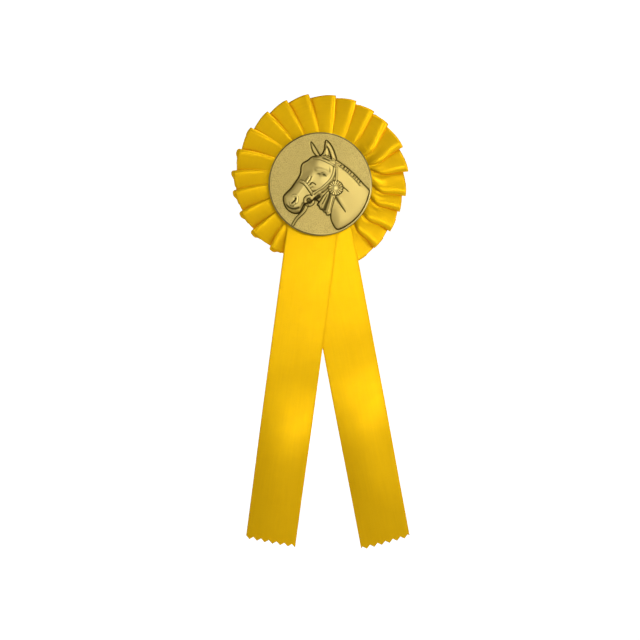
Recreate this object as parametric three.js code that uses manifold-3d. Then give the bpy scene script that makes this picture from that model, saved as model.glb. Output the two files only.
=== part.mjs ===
// A prize rosette: a medal on a ring of knife-pleated ribbon, two ribbon tails, and a bar pin on the back.
// Millimetres, +Z up. The origin is the centre of the back cover's rear face, and the rosette faces -Y.
//
// Pieces of the front are drawn face up: x to the wearer's left, y up, z forward of the back cover's rear face.
// A group then stands them upright. Pieces of the bar pin are drawn the same way, z away from that rear face.
import * as THREE from "three";
import { mergeVertices } from "three/addons/utils/BufferGeometryUtils.js";
import Module from "manifold-3d";

const wasm = await Module();
wasm.setup();

// Driving dimensions.
const RIBBON_WIDTH = 25;
const RIBBON_THICKNESS = 0.3;
const MEDAL_RADIUS = 25;
const FACETS = 96; // round a disc
const WIRE_FACETS = 24; // round a wire or a small hole
const FIT_GAP = 0.3; // between pieces that pass through each other

// The stack of layers, as [rear, front] depths in front of the back cover's rear face.
const LAYERS = {
  backCover: [0, 1.2],
  rearGlue: [1.2, 2.0],
  coreCard: [2.0, 3.4],
  rightTail: [7.3, 7.6],
  leftTail: [7.8, 8.1],
  centreGlue: [3.4, 8.7],
  frontCard: [8.7, 9.7],
  medalPad: [9.7, 10.7],
  medalCore: [10.7, 11.7],
  medalPlate: [11.7, 12.1],
};
const BACK_COVER_RADIUS = 24.5;
const CORE_CARD_RADIUS = 23;
const FRONT_CARD_RADIUS = 22;
const GLUE_RING = { inner: 16.5, outer: 22 };
const CENTRE_GLUE_RADIUS = 9.5;
const MEDAL_PAD_RADIUS = 18;
const MEDAL_SKIRT = { wall: 0.5, rear: 10.8, corner: 0.25 };
const RELIEF_HEIGHT = 1.0;
const NECK_CUT = { radius: 23.2, from: -71, to: -9 }; // an arc along the medal's rim, in degrees

// The pleats. A bearing is an angle clockwise from the top, seen from the front, at which a fold ends.
const FOLD_BEARINGS = [
  -141, -123.6, -108.4, -93.4, -80.5, -65.9, -50.3, -35.5, -21.5, -7.2, 10.1, 23.5, 36.6, 48.5, 65.5, 81.4,
  97.7, 108.9, 124, 139.6, 155.5, 171.4, 187.2, 203.1,
];
const PLEATS = {
  innerRadius: 18.5,
  outerRadius: 42.6, // of a fold's corner, on average
  rise: 1.6, // how far the ring's edge sits above the medal's centre
  notch: 2.2, // how far the edge falls back between two folds
  lean: 6.5, // degrees that a fold leans clockwise towards the centre
  rear: { inner: 3.4, outer: 1.3 },
  low: { inner: 6.2, outer: 4.2 }, // the front of a pleat where it comes out from under a fold
  high: { inner: 6.6, outer: 7.0 }, // and at its own fold
  flatTo: 0.24, // share of the ribbon's width that lies flat on the core card
};
const STITCH = { radius: 20.5, thread: 0.2, clearance: 0.1 };

// The tails. Each hangs from a hinge line just under the medal and is cut with pinking shears.
const HINGE_HEIGHT = -27;
const HINGE_GAP = 0.6; // above and below the hinge line
const TAB_TOP = -10.5;
const TAILS = {
  left: { lean: -7.7, rootX: -4.7, length: 145.6, skew: -4.2, layer: LAYERS.leftTail },
  right: { lean: 10.5, rootX: 3.9, length: 147.0, skew: 2.2, layer: LAYERS.rightTail },
};
const PINKING = { teeth: 7, depth: 1.6 };

// The staples that hold the tails to the core card.
const STAPLE = { wire: 0.5, span: 6, height: -12.5, clinch: 1.8, crown: 8.15, clinchDepth: 1.4 };
const STAPLE_CENTRES = { left: -5.5, right: 5.5 };

// The bar pin.
const BAR = { height: 9, length: 37, width: 5, thickness: 0.6 };
const RIVET = { x: 7.5, shank: 1.0, head: 1.8, thickness: 0.5 };
const NEEDLE = { height: 3.6, radius: 0.45, hingeX: -14.5, tipX: 17.3, taper: 4, eye: 1.3, eyeWidth: 1.6 };
const HINGE_PIN = { radius: 0.55, clearance: 0.05, length: 4.2, head: 0.95, headThickness: 0.4 };
const EAR = { inner: 1.1, thickness: 0.5, halfWidth: 1.5 };
const CATCH = { x: 12.9, length: 2.2, inner: 1.9, outer: 2.45, opening: 50, neck: 1.6 };
const ROLLER = { length: 3.7, radius: 1.65, bore: 0.85, fin: 3.4, finThickness: 0.6, finLength: 1.0, finAngle: 60 };

const MATERIALS = {
  ribbon: { color: 0xf7c414, roughness: 0.45, metalness: 0 },
  medal: { color: 0xc4ae62, roughness: 0.38, metalness: 1 },
  card: { color: 0xf1efe8, roughness: 0.9, metalness: 0 },
  glue: { color: 0xe8dfc4, roughness: 0.4, metalness: 0 },
  foam: { color: 0xf4f4f2, roughness: 0.95, metalness: 0 },
  plastic: { color: 0x2b2b2d, roughness: 0.5, metalness: 0 },
  thread: { color: 0xe9b90f, roughness: 0.8, metalness: 0 },
  steel: { color: 0xc8ccd0, roughness: 0.3, metalness: 1 },
};

const radians = THREE.MathUtils.degToRad;

function mesh(name, geometry, material) {
  const made = new THREE.Mesh(geometry, new THREE.MeshStandardMaterial(MATERIALS[material]));
  made.name = name;
  return made;
}

// Booleans: a geometry as a solid, and back.
function solid(geometry) {
  const bare = geometry.clone();
  bare.deleteAttribute("normal");
  bare.deleteAttribute("uv");
  const merged = mergeVertices(bare, 1e-4);
  const corners = merged.index.array;
  const faces = Array.from({ length: corners.length / 3 }, (_, i) => corners.slice(3 * i, 3 * i + 3));
  const whole = faces.filter(([a, b, c]) => a !== b && b !== c && c !== a);
  return new wasm.Manifold(
    new wasm.Mesh({
      numProp: 3,
      vertProperties: merged.attributes.position.array,
      triVerts: Uint32Array.from(whole.flatMap((face) => [...face])),
    }),
  );
}

function geometryOf(made) {
  const { vertProperties, triVerts } = made.getMesh();
  const geometry = new THREE.BufferGeometry();
  geometry.setAttribute("position", new THREE.BufferAttribute(vertProperties, 3));
  geometry.setIndex(new THREE.BufferAttribute(triVerts, 1));
  return geometry;
}

function joined(...geometries) {
  return geometryOf(geometries.map(solid).reduce((whole, next) => whole.add(next)));
}

function cut(geometry, tools) {
  return geometryOf(tools.map(solid).reduce((left, tool) => left.subtract(tool), solid(geometry)));
}

// Flat work.
function arcPoints(x, y, radius, from, to, steps) {
  return Array.from({ length: steps + 1 }, (_, i) => {
    const angle = from + ((to - from) * i) / steps;
    return new THREE.Vector2(x + radius * Math.cos(angle), y + radius * Math.sin(angle));
  });
}

function circlePath(Kind, x, y, radius, facets = WIRE_FACETS) {
  return new Kind(arcPoints(x, y, radius, 0, Math.PI * 2, facets).slice(1));
}

function circle(radius, facets = FACETS) {
  return circlePath(THREE.Shape, 0, 0, radius, facets);
}

function withHoles(shape, holes) {
  shape.holes.push(...holes);
  return shape;
}

function slab(shape, [rear, front], curveSegments = 1) {
  const options = { depth: front - rear, bevelEnabled: false, curveSegments };
  return new THREE.ExtrudeGeometry(shape, options).translate(0, 0, rear);
}

function polygon(points) {
  return new THREE.Shape(points.map(([x, y]) => new THREE.Vector2(x, y)));
}

// A profile drawn in x and depth, given a width up and down about a height.
function crossbar(shape, width, height) {
  const options = { depth: width, bevelEnabled: false };
  return new THREE.ExtrudeGeometry(shape, options).rotateX(Math.PI / 2).translate(0, height + width / 2, 0);
}

// A profile drawn in y and depth, given a length along x.
function alongX(shape, from, length) {
  const options = { depth: length, bevelEnabled: false };
  const geometry = new THREE.ExtrudeGeometry(shape, options);
  geometry.rotateZ(Math.PI / 2).rotateY(Math.PI / 2);
  return geometry.translate(from, 0, 0);
}

function rod(radius, from, to, facets = WIRE_FACETS) {
  const length = to - from;
  return new THREE.CylinderGeometry(radius, radius, length, facets)
    .rotateX(Math.PI / 2)
    .translate(0, 0, from + length / 2);
}

// Backing and medal.
function staplePoints() {
  return Object.values(STAPLE_CENTRES).flatMap((x) => [x - STAPLE.span / 2, x + STAPLE.span / 2]);
}

function stapleHoles() {
  const side = STAPLE.wire + 2 * FIT_GAP;
  return staplePoints().map((x) => new THREE.BoxGeometry(side, side, 40).translate(x, STAPLE.height, 0));
}

function rivetHoles(y) {
  return [-RIVET.x, RIVET.x].map((x) => circlePath(THREE.Path, x, y, RIVET.shank + FIT_GAP));
}

function backing() {
  const ring = withHoles(circle(GLUE_RING.outer), [circlePath(THREE.Path, 0, 0, GLUE_RING.inner, FACETS / 2)]);
  const cover = withHoles(circle(BACK_COVER_RADIUS), rivetHoles(BAR.height));
  const core = cut(slab(circle(CORE_CARD_RADIUS), LAYERS.coreCard), stapleHoles());
  return [
    mesh("back_cover", slab(cover, LAYERS.backCover), "card"),
    mesh("rear_glue_ring", slab(ring, LAYERS.rearGlue), "glue"),
    mesh("core_card", core, "card"),
    mesh("centre_glue", slab(circle(CENTRE_GLUE_RADIUS, FACETS / 2), LAYERS.centreGlue), "glue"),
    mesh("front_card", slab(circle(FRONT_CARD_RADIUS), LAYERS.frontCard), "card"),
  ];
}

// A horse's head and neck in profile, facing left, in millimetres from the medal's centre.
function horseOutline() {
  const at = (points) => points.map(([x, y]) => new THREE.Vector2(x, y));
  const [from, to] = [radians(NECK_CUT.from), radians(NECK_CUT.to)];
  const neckFront = [NECK_CUT.radius * Math.cos(from), NECK_CUT.radius * Math.sin(from)];
  const shape = new THREE.Shape();
  shape.moveTo(7.7, 11.1);
  shape.splineThru(at([[7.0, 14.2], [5.4, 18.0], [2.7, 20.8]])); // back of the ear
  shape.splineThru(at([[2.8, 18.2], [2.2, 15.8], [0.4, 13.7]])); // front of the ear
  shape.splineThru(at([[-3.6, 13.0], [-5.8, 11.3], [-8.3, 9.5], [-9.3, 6.0], [-11.0, 1.8], [-14.3, -3.0],
    [-17.3, -6.0], [-17.8, -9.4], [-16.2, -12.4], [-12.6, -13.9], [-9.8, -12.8], [-8.2, -10.2]])); // face to chin
  shape.splineThru(at([[-6.2, -10.6], [-3.6, -9.4], [-1.8, -8.0]])); // jaw
  shape.splineThru(at([[1.0, -10.5], [4.2, -14.0], [5.2, -18.0], neckFront])); // throat
  shape.absarc(0, 0, NECK_CUT.radius, from, to, false);
  shape.splineThru(at([[19.4, 1.2], [14.2, 6.2], [7.7, 11.1]])); // crest
  return shape;
}

function medal() {
  const [plateRear, plateFront] = LAYERS.medalPlate;
  const { wall, rear, corner } = MEDAL_SKIRT;
  const section = [
    [0, plateRear],
    [MEDAL_RADIUS - wall, plateRear],
    [MEDAL_RADIUS - wall, rear],
    [MEDAL_RADIUS, rear],
    [MEDAL_RADIUS, plateFront - corner],
    [MEDAL_RADIUS - corner, plateFront],
    [0, plateFront],
  ];
  const profile = section.map(([x, y]) => new THREE.Vector2(x, y));
  const plate = new THREE.LatheGeometry(profile, FACETS).rotateX(Math.PI / 2);
  const relief = slab(horseOutline(), [(plateRear + plateFront) / 2, plateFront + RELIEF_HEIGHT], 5);
  const coreRadius = MEDAL_RADIUS - wall - FIT_GAP;
  return [
    mesh("medal_face", joined(plate, relief), "medal"),
    mesh("medal_core", slab(circle(coreRadius), LAYERS.medalCore), "plastic"),
    mesh("medal_pad", slab(circle(MEDAL_PAD_RADIUS), LAYERS.medalPad), "foam"),
  ];
}

// The ring of knife pleats, as one closed solid: each pleat's front climbs clockwise to its fold and drops.
function pleatedRing() {
  const shares = [0, PLEATS.flatTo, 0.5, 0.75, 1];
  const climb = [[0.06, 0], [0.5, 0.55], [0.86, 1], [1, 0.92]]; // share of the pleat, share of the height
  const mix = ({ inner, outer }, t) => inner + (outer - inner) * t;
  const sections = FOLD_BEARINGS.flatMap((end, k) => {
    const last = FOLD_BEARINGS.length - 1;
    const start = k ? FOLD_BEARINGS[k - 1] : FOLD_BEARINGS[last] - 360;
    return climb.map(([along, height]) => ({ bearing: start + (end - start) * along, along, height }));
  });
  const positions = [];
  const addPoint = (bearing, radius, depth) => {
    const angle = radians(bearing);
    positions.push(radius * Math.sin(angle), radius * Math.cos(angle), depth);
  };
  for (const { bearing, along, height } of sections) {
    const edge = PLEATS.outerRadius + PLEATS.rise * Math.cos(radians(bearing)) - PLEATS.notch * (1 - along);
    const radiusAt = (share) => PLEATS.innerRadius + (edge - PLEATS.innerRadius) * share;
    const turned = (share) => bearing + PLEATS.lean * (1 - share);
    const loose = (share) => Math.max(0, (share - PLEATS.flatTo) / (1 - PLEATS.flatTo));
    for (const share of shares) addPoint(turned(share), radiusAt(share), mix(PLEATS.rear, loose(share)));
    for (const share of [...shares].reverse()) {
      const low = mix(PLEATS.low, loose(share));
      const high = mix(PLEATS.high, loose(share));
      addPoint(turned(share), radiusAt(share), low + (high - low) * height);
    }
  }
  const ring = 2 * shares.length;
  const index = [];
  sections.forEach((_, i) => {
    const here = i * ring;
    const next = ((i + 1) % sections.length) * ring;
    for (let j = 0; j < ring; j++) {
      const k = (j + 1) % ring;
      index.push(here + j, here + k, next + k, here + j, next + k, next + j);
    }
  });
  const geometry = new THREE.BufferGeometry();
  geometry.setAttribute("position", new THREE.BufferAttribute(new Float32Array(positions), 3));
  geometry.setIndex(index);
  return geometry;
}

function gatherStitch() {
  const { radius, thread, clearance } = STITCH;
  const profile = Array.from({ length: 9 }, (_, i) => {
    const angle = (i / 8) * Math.PI * 2;
    return new THREE.Vector2(radius + thread * Math.cos(angle), thread * Math.sin(angle));
  });
  const depth = PLEATS.high.inner + clearance + thread;
  return new THREE.LatheGeometry(profile, FACETS).rotateX(Math.PI / 2).translate(0, 0, depth);
}

// A tail's centre line at a height, and its two edges, as it leans.
function tailEdge({ lean, rootX }, side, height) {
  const centre = rootX + (HINGE_HEIGHT - height) * Math.tan(radians(lean));
  return [centre + (side * RIBBON_WIDTH) / 2 / Math.cos(radians(lean)), height];
}

function tailTab(tail) {
  const bottom = HINGE_HEIGHT + HINGE_GAP;
  const corners = [
    tailEdge(tail, -1, bottom),
    tailEdge(tail, 1, bottom),
    tailEdge(tail, 1, TAB_TOP),
    tailEdge(tail, -1, TAB_TOP),
  ];
  return cut(slab(polygon(corners), tail.layer), stapleHoles());
}

function tailShape(tail) {
  const lean = radians(tail.lean);
  const cut = radians(tail.lean + tail.skew);
  const down = [Math.sin(lean), -Math.cos(lean)];
  const across = [Math.cos(cut), Math.sin(cut)];
  const end = [tail.rootX + down[0] * tail.length, HINGE_HEIGHT + down[1] * tail.length];
  const half = RIBBON_WIDTH / 2 / Math.cos(radians(tail.skew));
  const teeth = Array.from({ length: 2 * PINKING.teeth + 1 }, (_, i) => {
    const along = -half + (2 * half * i) / (2 * PINKING.teeth);
    const out = i % 2 ? PINKING.depth : 0;
    return [end[0] + across[0] * along + down[0] * out, end[1] + across[1] * along + down[1] * out];
  });
  const top = HINGE_HEIGHT - HINGE_GAP;
  return polygon([...teeth, tailEdge(tail, 1, top), tailEdge(tail, -1, top)]);
}

function tails() {
  return Object.entries(TAILS).flatMap(([side, tail]) => [
    mesh(`tail_${side}_tab`, tailTab(tail), "ribbon"),
    mesh(`tail_${side}`, slab(tailShape(tail), tail.layer), "ribbon"),
  ]);
}

// A closed staple: crown in front of the tails, legs through to the core card, ends clinched behind it.
function staple() {
  const { wire, span, clinch, crown, clinchDepth } = STAPLE;
  const outer = span / 2 + wire / 2;
  const inner = span / 2 - wire / 2;
  const shape = polygon([
    [-outer, clinchDepth],
    [-inner + clinch, clinchDepth],
    [-inner + clinch, clinchDepth + wire],
    [-inner, clinchDepth + wire],
    [-inner, crown],
    [inner, crown],
    [inner, clinchDepth + wire],
    [inner - clinch, clinchDepth + wire],
    [inner - clinch, clinchDepth],
    [outer, clinchDepth],
    [outer, crown + wire],
    [-outer, crown + wire],
  ]);
  return crossbar(shape, wire, STAPLE.height);
}

function staples() {
  return Object.entries(STAPLE_CENTRES).map(([side, x]) => {
    const made = mesh(`staple_${side}`, staple(), "steel");
    made.position.x = x;
    return made;
  });
}

// The bar pin, drawn with x along the bar and z away from the back cover.
function barStrip() {
  const { length, width, thickness } = BAR;
  const straight = (length - width) / 2;
  const half = WIRE_FACETS / 2;
  const shape = new THREE.Shape([
    ...arcPoints(straight, 0, width / 2, -Math.PI / 2, Math.PI / 2, half),
    ...arcPoints(-straight, 0, width / 2, Math.PI / 2, (3 * Math.PI) / 2, half),
  ]);
  return slab(withHoles(shape, rivetHoles(0)), [0, thickness]);
}

function hingeEar(y) {
  const { hingeX, height } = NEEDLE;
  const { halfWidth, thickness } = EAR;
  const shape = new THREE.Shape([
    new THREE.Vector2(hingeX - halfWidth, BAR.thickness / 2),
    new THREE.Vector2(hingeX + halfWidth, BAR.thickness / 2),
    ...arcPoints(hingeX, height, halfWidth, 0, Math.PI, WIRE_FACETS / 2),
  ]);
  const hole = circlePath(THREE.Path, hingeX, height, HINGE_PIN.radius + HINGE_PIN.clearance);
  return crossbar(withHoles(shape, [hole]), thickness, y);
}

function catchHook() {
  const { x, length, inner, outer, opening, neck } = CATCH;
  const from = Math.PI / 2 + radians(opening);
  const to = Math.PI / 2 - radians(opening) + Math.PI * 2;
  const hook = new THREE.Shape([
    ...arcPoints(0, NEEDLE.height, outer, from, to, WIRE_FACETS),
    ...arcPoints(0, NEEDLE.height, inner, to, from, WIRE_FACETS),
  ]);
  const stem = polygon([
    [-neck / 2, BAR.thickness / 2],
    [neck / 2, BAR.thickness / 2],
    [neck / 2, NEEDLE.height - (inner + outer) / 2],
    [-neck / 2, NEEDLE.height - (inner + outer) / 2],
  ]);
  return [alongX(hook, x, length), alongX(stem, x, length)];
}

function needle() {
  const { radius, height, hingeX, tipX, taper, eye, eyeWidth } = NEEDLE;
  const start = hingeX + (eye + HINGE_PIN.radius) / 2;
  const straight = tipX - taper - start;
  const stem = new THREE.CylinderGeometry(radius, radius, straight, WIRE_FACETS / 2)
    .rotateZ(-Math.PI / 2)
    .translate(start + straight / 2, 0, height);
  const point = new THREE.CylinderGeometry(0.06, radius, taper, WIRE_FACETS / 2)
    .rotateZ(-Math.PI / 2)
    .translate(tipX - taper / 2, 0, height);
  const hole = circlePath(THREE.Path, hingeX, height, HINGE_PIN.radius + 0.2);
  const ring = crossbar(withHoles(circlePath(THREE.Shape, hingeX, height, eye), [hole]), eyeWidth, 0);
  const bore = crossbar(circlePath(THREE.Shape, hingeX, height, HINGE_PIN.radius + 0.2), eyeWidth * 2, 0);
  return cut(joined(stem, point, ring), [bore]);
}

function hingePin() {
  const { radius, length, head, headThickness } = HINGE_PIN;
  const shank = rod(radius, -length / 2, length / 2);
  const heads = [-1, 1].map((side) => {
    const near = (side * length) / 2;
    const far = near + side * headThickness;
    return rod(head, Math.min(near, far), Math.max(near, far));
  });
  return joined(shank, ...heads).rotateX(Math.PI / 2).translate(NEEDLE.hingeX, 0, NEEDLE.height);
}

function catchRoller() {
  const { length, radius, bore, fin, finThickness, finLength, finAngle } = ROLLER;
  const slot = Math.asin(bore / radius);
  const body = new THREE.Shape([
    ...arcPoints(0, 0, radius, Math.PI / 2 + slot, Math.PI / 2 - slot + Math.PI * 2, WIRE_FACETS),
    ...arcPoints(0, 0, bore, 0, -Math.PI, WIRE_FACETS / 2),
  ]);
  const thumb = polygon([
    [-finThickness / 2, (bore + radius) / 2],
    [finThickness / 2, (bore + radius) / 2],
    [finThickness / 2, fin],
    [-finThickness / 2, fin],
  ]);
  const finFrom = CATCH.x + length - finLength;
  const lever = alongX(thumb, finFrom, finLength).rotateX(radians(finAngle));
  return joined(alongX(body, CATCH.x, length), lever).translate(0, 0, NEEDLE.height);
}

function barRivet() {
  const { shank, head, thickness } = RIVET;
  const inside = -LAYERS.backCover[1];
  return joined(
    rod(shank, inside - thickness / 2, BAR.thickness + thickness / 2),
    rod(head, inside - thickness, inside),
    rod(head, BAR.thickness, BAR.thickness + thickness),
  );
}

function barPin() {
  const earY = EAR.inner + EAR.thickness / 2;
  const bar = joined(barStrip(), hingeEar(-earY), hingeEar(earY), ...catchHook());
  const rivets = Object.entries({ left: -RIVET.x, right: RIVET.x }).map(([side, x]) => {
    const made = mesh(`bar_rivet_${side}`, barRivet(), "steel");
    made.position.x = x;
    return made;
  });
  return [
    mesh("pin_bar", bar, "steel"),
    mesh("needle", needle(), "steel"),
    mesh("hinge_pin", hingePin(), "steel"),
    mesh("catch_roller", catchRoller(), "steel"),
    ...rivets,
  ];
}

const front = new THREE.Group();
front.rotation.x = Math.PI / 2;
front.add(
  ...backing(),
  ...medal(),
  mesh("pleated_ribbon", pleatedRing(), "ribbon"),
  mesh("gather_stitch", gatherStitch(), "thread"),
  ...tails(),
  ...staples(),
);

const rear = new THREE.Group();
rear.position.z = BAR.height;
rear.rotation.x = -Math.PI / 2;
rear.add(...barPin());

const rosette = new THREE.Group();
rosette.add(front, rear);

export default rosette;
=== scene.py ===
"""A prize rosette, dressed on its CAD frame.

A gold foil medal with a horse's head in relief sits on one tier of knife-pleated satin ribbon. Two satin
tails with pinked ends hang from under it, and a card back carries a bar pin. The rosette stands upright as
it is worn: it faces -Y, +Z is up, and the origin is the centre of the back cover's rear face.

Sizes are in millimetres until a mesh is made. "Depth" is the distance in front of the back cover's rear
face, and a "bearing" is an angle clockwise from the top, seen from the front.
"""

from __future__ import annotations

import logging
import math
from dataclasses import dataclass
from enum import Enum
from typing import Any, Mapping, Sequence

import bmesh
import bpy
import numpy as np
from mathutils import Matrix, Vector


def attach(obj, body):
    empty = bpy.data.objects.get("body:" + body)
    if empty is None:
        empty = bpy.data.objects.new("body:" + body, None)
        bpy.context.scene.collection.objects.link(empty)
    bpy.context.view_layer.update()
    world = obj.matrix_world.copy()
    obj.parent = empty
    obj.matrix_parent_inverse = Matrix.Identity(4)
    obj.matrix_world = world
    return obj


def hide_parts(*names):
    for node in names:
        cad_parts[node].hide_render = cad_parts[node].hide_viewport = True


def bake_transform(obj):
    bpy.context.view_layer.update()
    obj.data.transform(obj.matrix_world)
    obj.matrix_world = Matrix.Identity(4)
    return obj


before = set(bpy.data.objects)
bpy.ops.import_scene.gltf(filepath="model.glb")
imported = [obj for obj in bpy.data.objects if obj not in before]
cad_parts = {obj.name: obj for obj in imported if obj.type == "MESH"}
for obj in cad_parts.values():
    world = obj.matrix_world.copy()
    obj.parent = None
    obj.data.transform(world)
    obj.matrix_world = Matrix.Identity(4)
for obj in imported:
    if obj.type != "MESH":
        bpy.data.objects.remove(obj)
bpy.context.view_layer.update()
MM = 0.001
Array = np.ndarray
Colour = tuple[float, float, float]
Place = tuple[float, float, float]
Points = Sequence[tuple[float, float]]
log = logging.getLogger("rosette")


# ---------------------------------------------------------------------------------------------------------
# Curves and falloffs
# ---------------------------------------------------------------------------------------------------------


def smoothstep(x: Array | float) -> Array:
    """3x^2 - 2x^3 of x held between 0 and 1."""
    held = np.clip(x, 0.0, 1.0)
    return held * held * (3.0 - 2.0 * held)


def dome(x: Array | float) -> Array:
    """A quarter circle: 0 at x = 0, climbing steeply and levelling at 1 for x = 1 and more."""
    held = np.clip(x, 0.0, 1.0)
    return np.sqrt(1.0 - (1.0 - held) ** 2)


def bell(x: Array | float) -> Array:
    """exp(-x^2)."""
    return np.exp(-np.square(x))


def facing(bearing: Array, centre: float, start: float, width: float) -> Array:
    """1 near one bearing and 0 away from it.

    It is the smoothstep of (c - start) / width, with c the cosine of the angle from the centre.

    Args:
        bearing: Bearings in radians.
        centre: The bearing in the middle, in degrees.
        start: The cosine where it leaves 0.
        width: How much the cosine grows until it reaches 1.

    Returns:
        The weight at each bearing.
    """
    return smoothstep((np.cos(bearing - np.radians(centre)) - start) / width)


def mix(a: Array | float, b: Array | float, share: Array | float) -> Array:
    """a at share 0, b at share 1, and a straight line between them."""
    return a + (b - a) * share


def smooth_line(points: Sequence[Sequence[float]], steps: int = 6, closed: bool = False) -> Array:
    """Carries a smooth line through the points, as Catmull and Rom's cubic does.

    Between two points p1 and p2, with their neighbours p0 and p3, the line at t from 0 to 1 is
    (2 p1 + (p2 - p0) t + (2 p0 - 5 p1 + 4 p2 - p3) t^2 + (3 p1 - p0 - 3 p2 + p3) t^3) / 2.

    Args:
        points: The points, in order.
        steps: How many pieces each gap is cut into.
        closed: Whether the line comes back to its first point.

    Returns:
        The line's points, one row each; a closed line doesn't repeat its first.
    """
    given = np.asarray(points, float)
    if closed:
        padded = np.vstack([given[-1:], given, given[:2]])
    else:
        padded = np.vstack([2 * given[0] - given[1], given, 2 * given[-1] - given[-2]])
    p0, p1, p2, p3 = (padded[i : len(padded) - 3 + i, None, :] for i in range(4))
    t = (np.arange(steps) / steps)[None, :, None]
    line = 0.5 * (
        2 * p1 + (p2 - p0) * t + (2 * p0 - 5 * p1 + 4 * p2 - p3) * t**2 + (3 * p1 - p0 - 3 * p2 + p3) * t**3
    )
    line = line.reshape(-1, given.shape[1])
    return line if closed else np.vstack([line, given[-1:]])


# ---------------------------------------------------------------------------------------------------------
# Meshes
# ---------------------------------------------------------------------------------------------------------


def grid_faces(rows: int, columns: int, wrap_rows: bool = False, wrap_columns: bool = False) -> Array:
    """The four corners of each face of a grid whose point (i, j) is number i * columns + j.

    Args:
        rows: Points along the first parameter.
        columns: Points along the second.
        wrap_rows: Whether the last row joins the first.
        wrap_columns: Whether the last column joins the first.

    Returns:
        One row of four point numbers for each face.
    """
    i = np.arange(rows if wrap_rows else rows - 1)[:, None]
    j = np.arange(columns if wrap_columns else columns - 1)[None, :]
    down, right = (i + 1) % rows, (j + 1) % columns
    corners = [i * columns + j, down * columns + j, down * columns + right, i * columns + right]
    return np.stack(np.broadcast_arrays(*corners), axis=-1).reshape(-1, 4)


def make_object(
    name: str,
    points: Array,
    faces: Array,
    cloth: Array | None = None,
    attributes: Mapping[str, Array] | None = None,
) -> bpy.types.Object:
    """Puts arrays into a smooth-shaded mesh and the mesh into the scene.

    Args:
        name: The piece's name.
        points: One row of x, y, z for each point, in millimetres in the shared frame.
        faces: One row of four point numbers for each face.
        cloth: The place of each point on the flat cloth, along and across, in millimetres.
        attributes: A number for each point, by the name of the attribute that holds it.

    Returns:
        The new object, at the origin.
    """
    mesh = bpy.data.meshes.new(name)
    mesh.vertices.add(len(points))
    mesh.vertices.foreach_set("co", np.ascontiguousarray(points * MM, np.float32).ravel())
    mesh.loops.add(faces.size)
    mesh.loops.foreach_set("vertex_index", np.ascontiguousarray(faces, np.int32).ravel())
    mesh.polygons.add(len(faces))
    mesh.polygons.foreach_set("loop_start", np.arange(0, faces.size, 4, dtype=np.int32))
    mesh.polygons.foreach_set("use_smooth", np.ones(len(faces), bool))
    if cloth is not None:
        layer = mesh.uv_layers.new(name="cloth")
        layer.data.foreach_set("uv", np.ascontiguousarray(cloth[faces.ravel()], np.float32).ravel())
    for key, values in (attributes or {}).items():
        attribute = mesh.attributes.new(key, "FLOAT", "POINT")
        attribute.data.foreach_set("value", np.ascontiguousarray(values, np.float32).ravel())
    mesh.update(calc_edges=True)
    mesh.validate()
    made = bpy.data.objects.new(name, mesh)
    bpy.context.scene.collection.objects.link(made)
    return made


def sheet_object(
    name: str, middle: Array, thickness: float, cloth: Array, wrap_rows: bool = False, flip: bool = False
) -> bpy.types.Object:
    """Gives a grid of points a thickness and closes its edges.

    Each point moves half the thickness each way along the grid's normal, the cross product of the two
    parameters' central differences, and a strip of faces joins the two skins along each open edge.

    Args:
        name: The piece's name.
        middle: The sheet's middle, rows x columns x 3, in millimetres.
        thickness: The cloth's thickness.
        cloth: The place of each point on the flat cloth, rows x columns x 2.
        wrap_rows: Whether the last row joins the first.
        flip: Whether the grid's normal points out of the second skin instead of the first.

    Returns:
        The closed sheet as an object.
    """
    rows, columns, _ = middle.shape
    if wrap_rows:
        along = np.roll(middle, -1, 0) - np.roll(middle, 1, 0)
    else:
        along = np.gradient(middle, axis=0)
    normal = np.cross(along, np.gradient(middle, axis=1))
    normal /= np.linalg.norm(normal, axis=2, keepdims=True) + 1e-12
    normal *= -1.0 if flip else 1.0
    skins = [middle + normal * thickness / 2, middle - normal * thickness / 2]
    points = np.concatenate([skin.reshape(-1, 3) for skin in skins])
    count = rows * columns
    skin = grid_faces(rows, columns, wrap_rows)
    first, second = (skin[:, ::-1], skin + count) if flip else (skin, skin[:, ::-1] + count)
    number = np.arange(count).reshape(rows, columns)
    edges = [(number[:, 0], True), (number[:, -1], False)]
    if not wrap_rows:
        edges += [(number[0], False), (number[-1], True)]
    strips = []
    for line, reverse in edges:
        ahead = np.roll(line, -1) if (wrap_rows and len(line) == rows) else line[1:]
        here = line if len(ahead) == len(line) else line[:-1]
        strip = np.stack([here, ahead, ahead + count, here + count], axis=1)
        strips.append(strip if reverse == flip else strip[:, ::-1])
    uv = np.concatenate([cloth.reshape(-1, 2)] * 2)
    return make_object(name, points, np.concatenate([first, second, *strips]), uv)


# ---------------------------------------------------------------------------------------------------------
# Materials
# ---------------------------------------------------------------------------------------------------------


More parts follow.
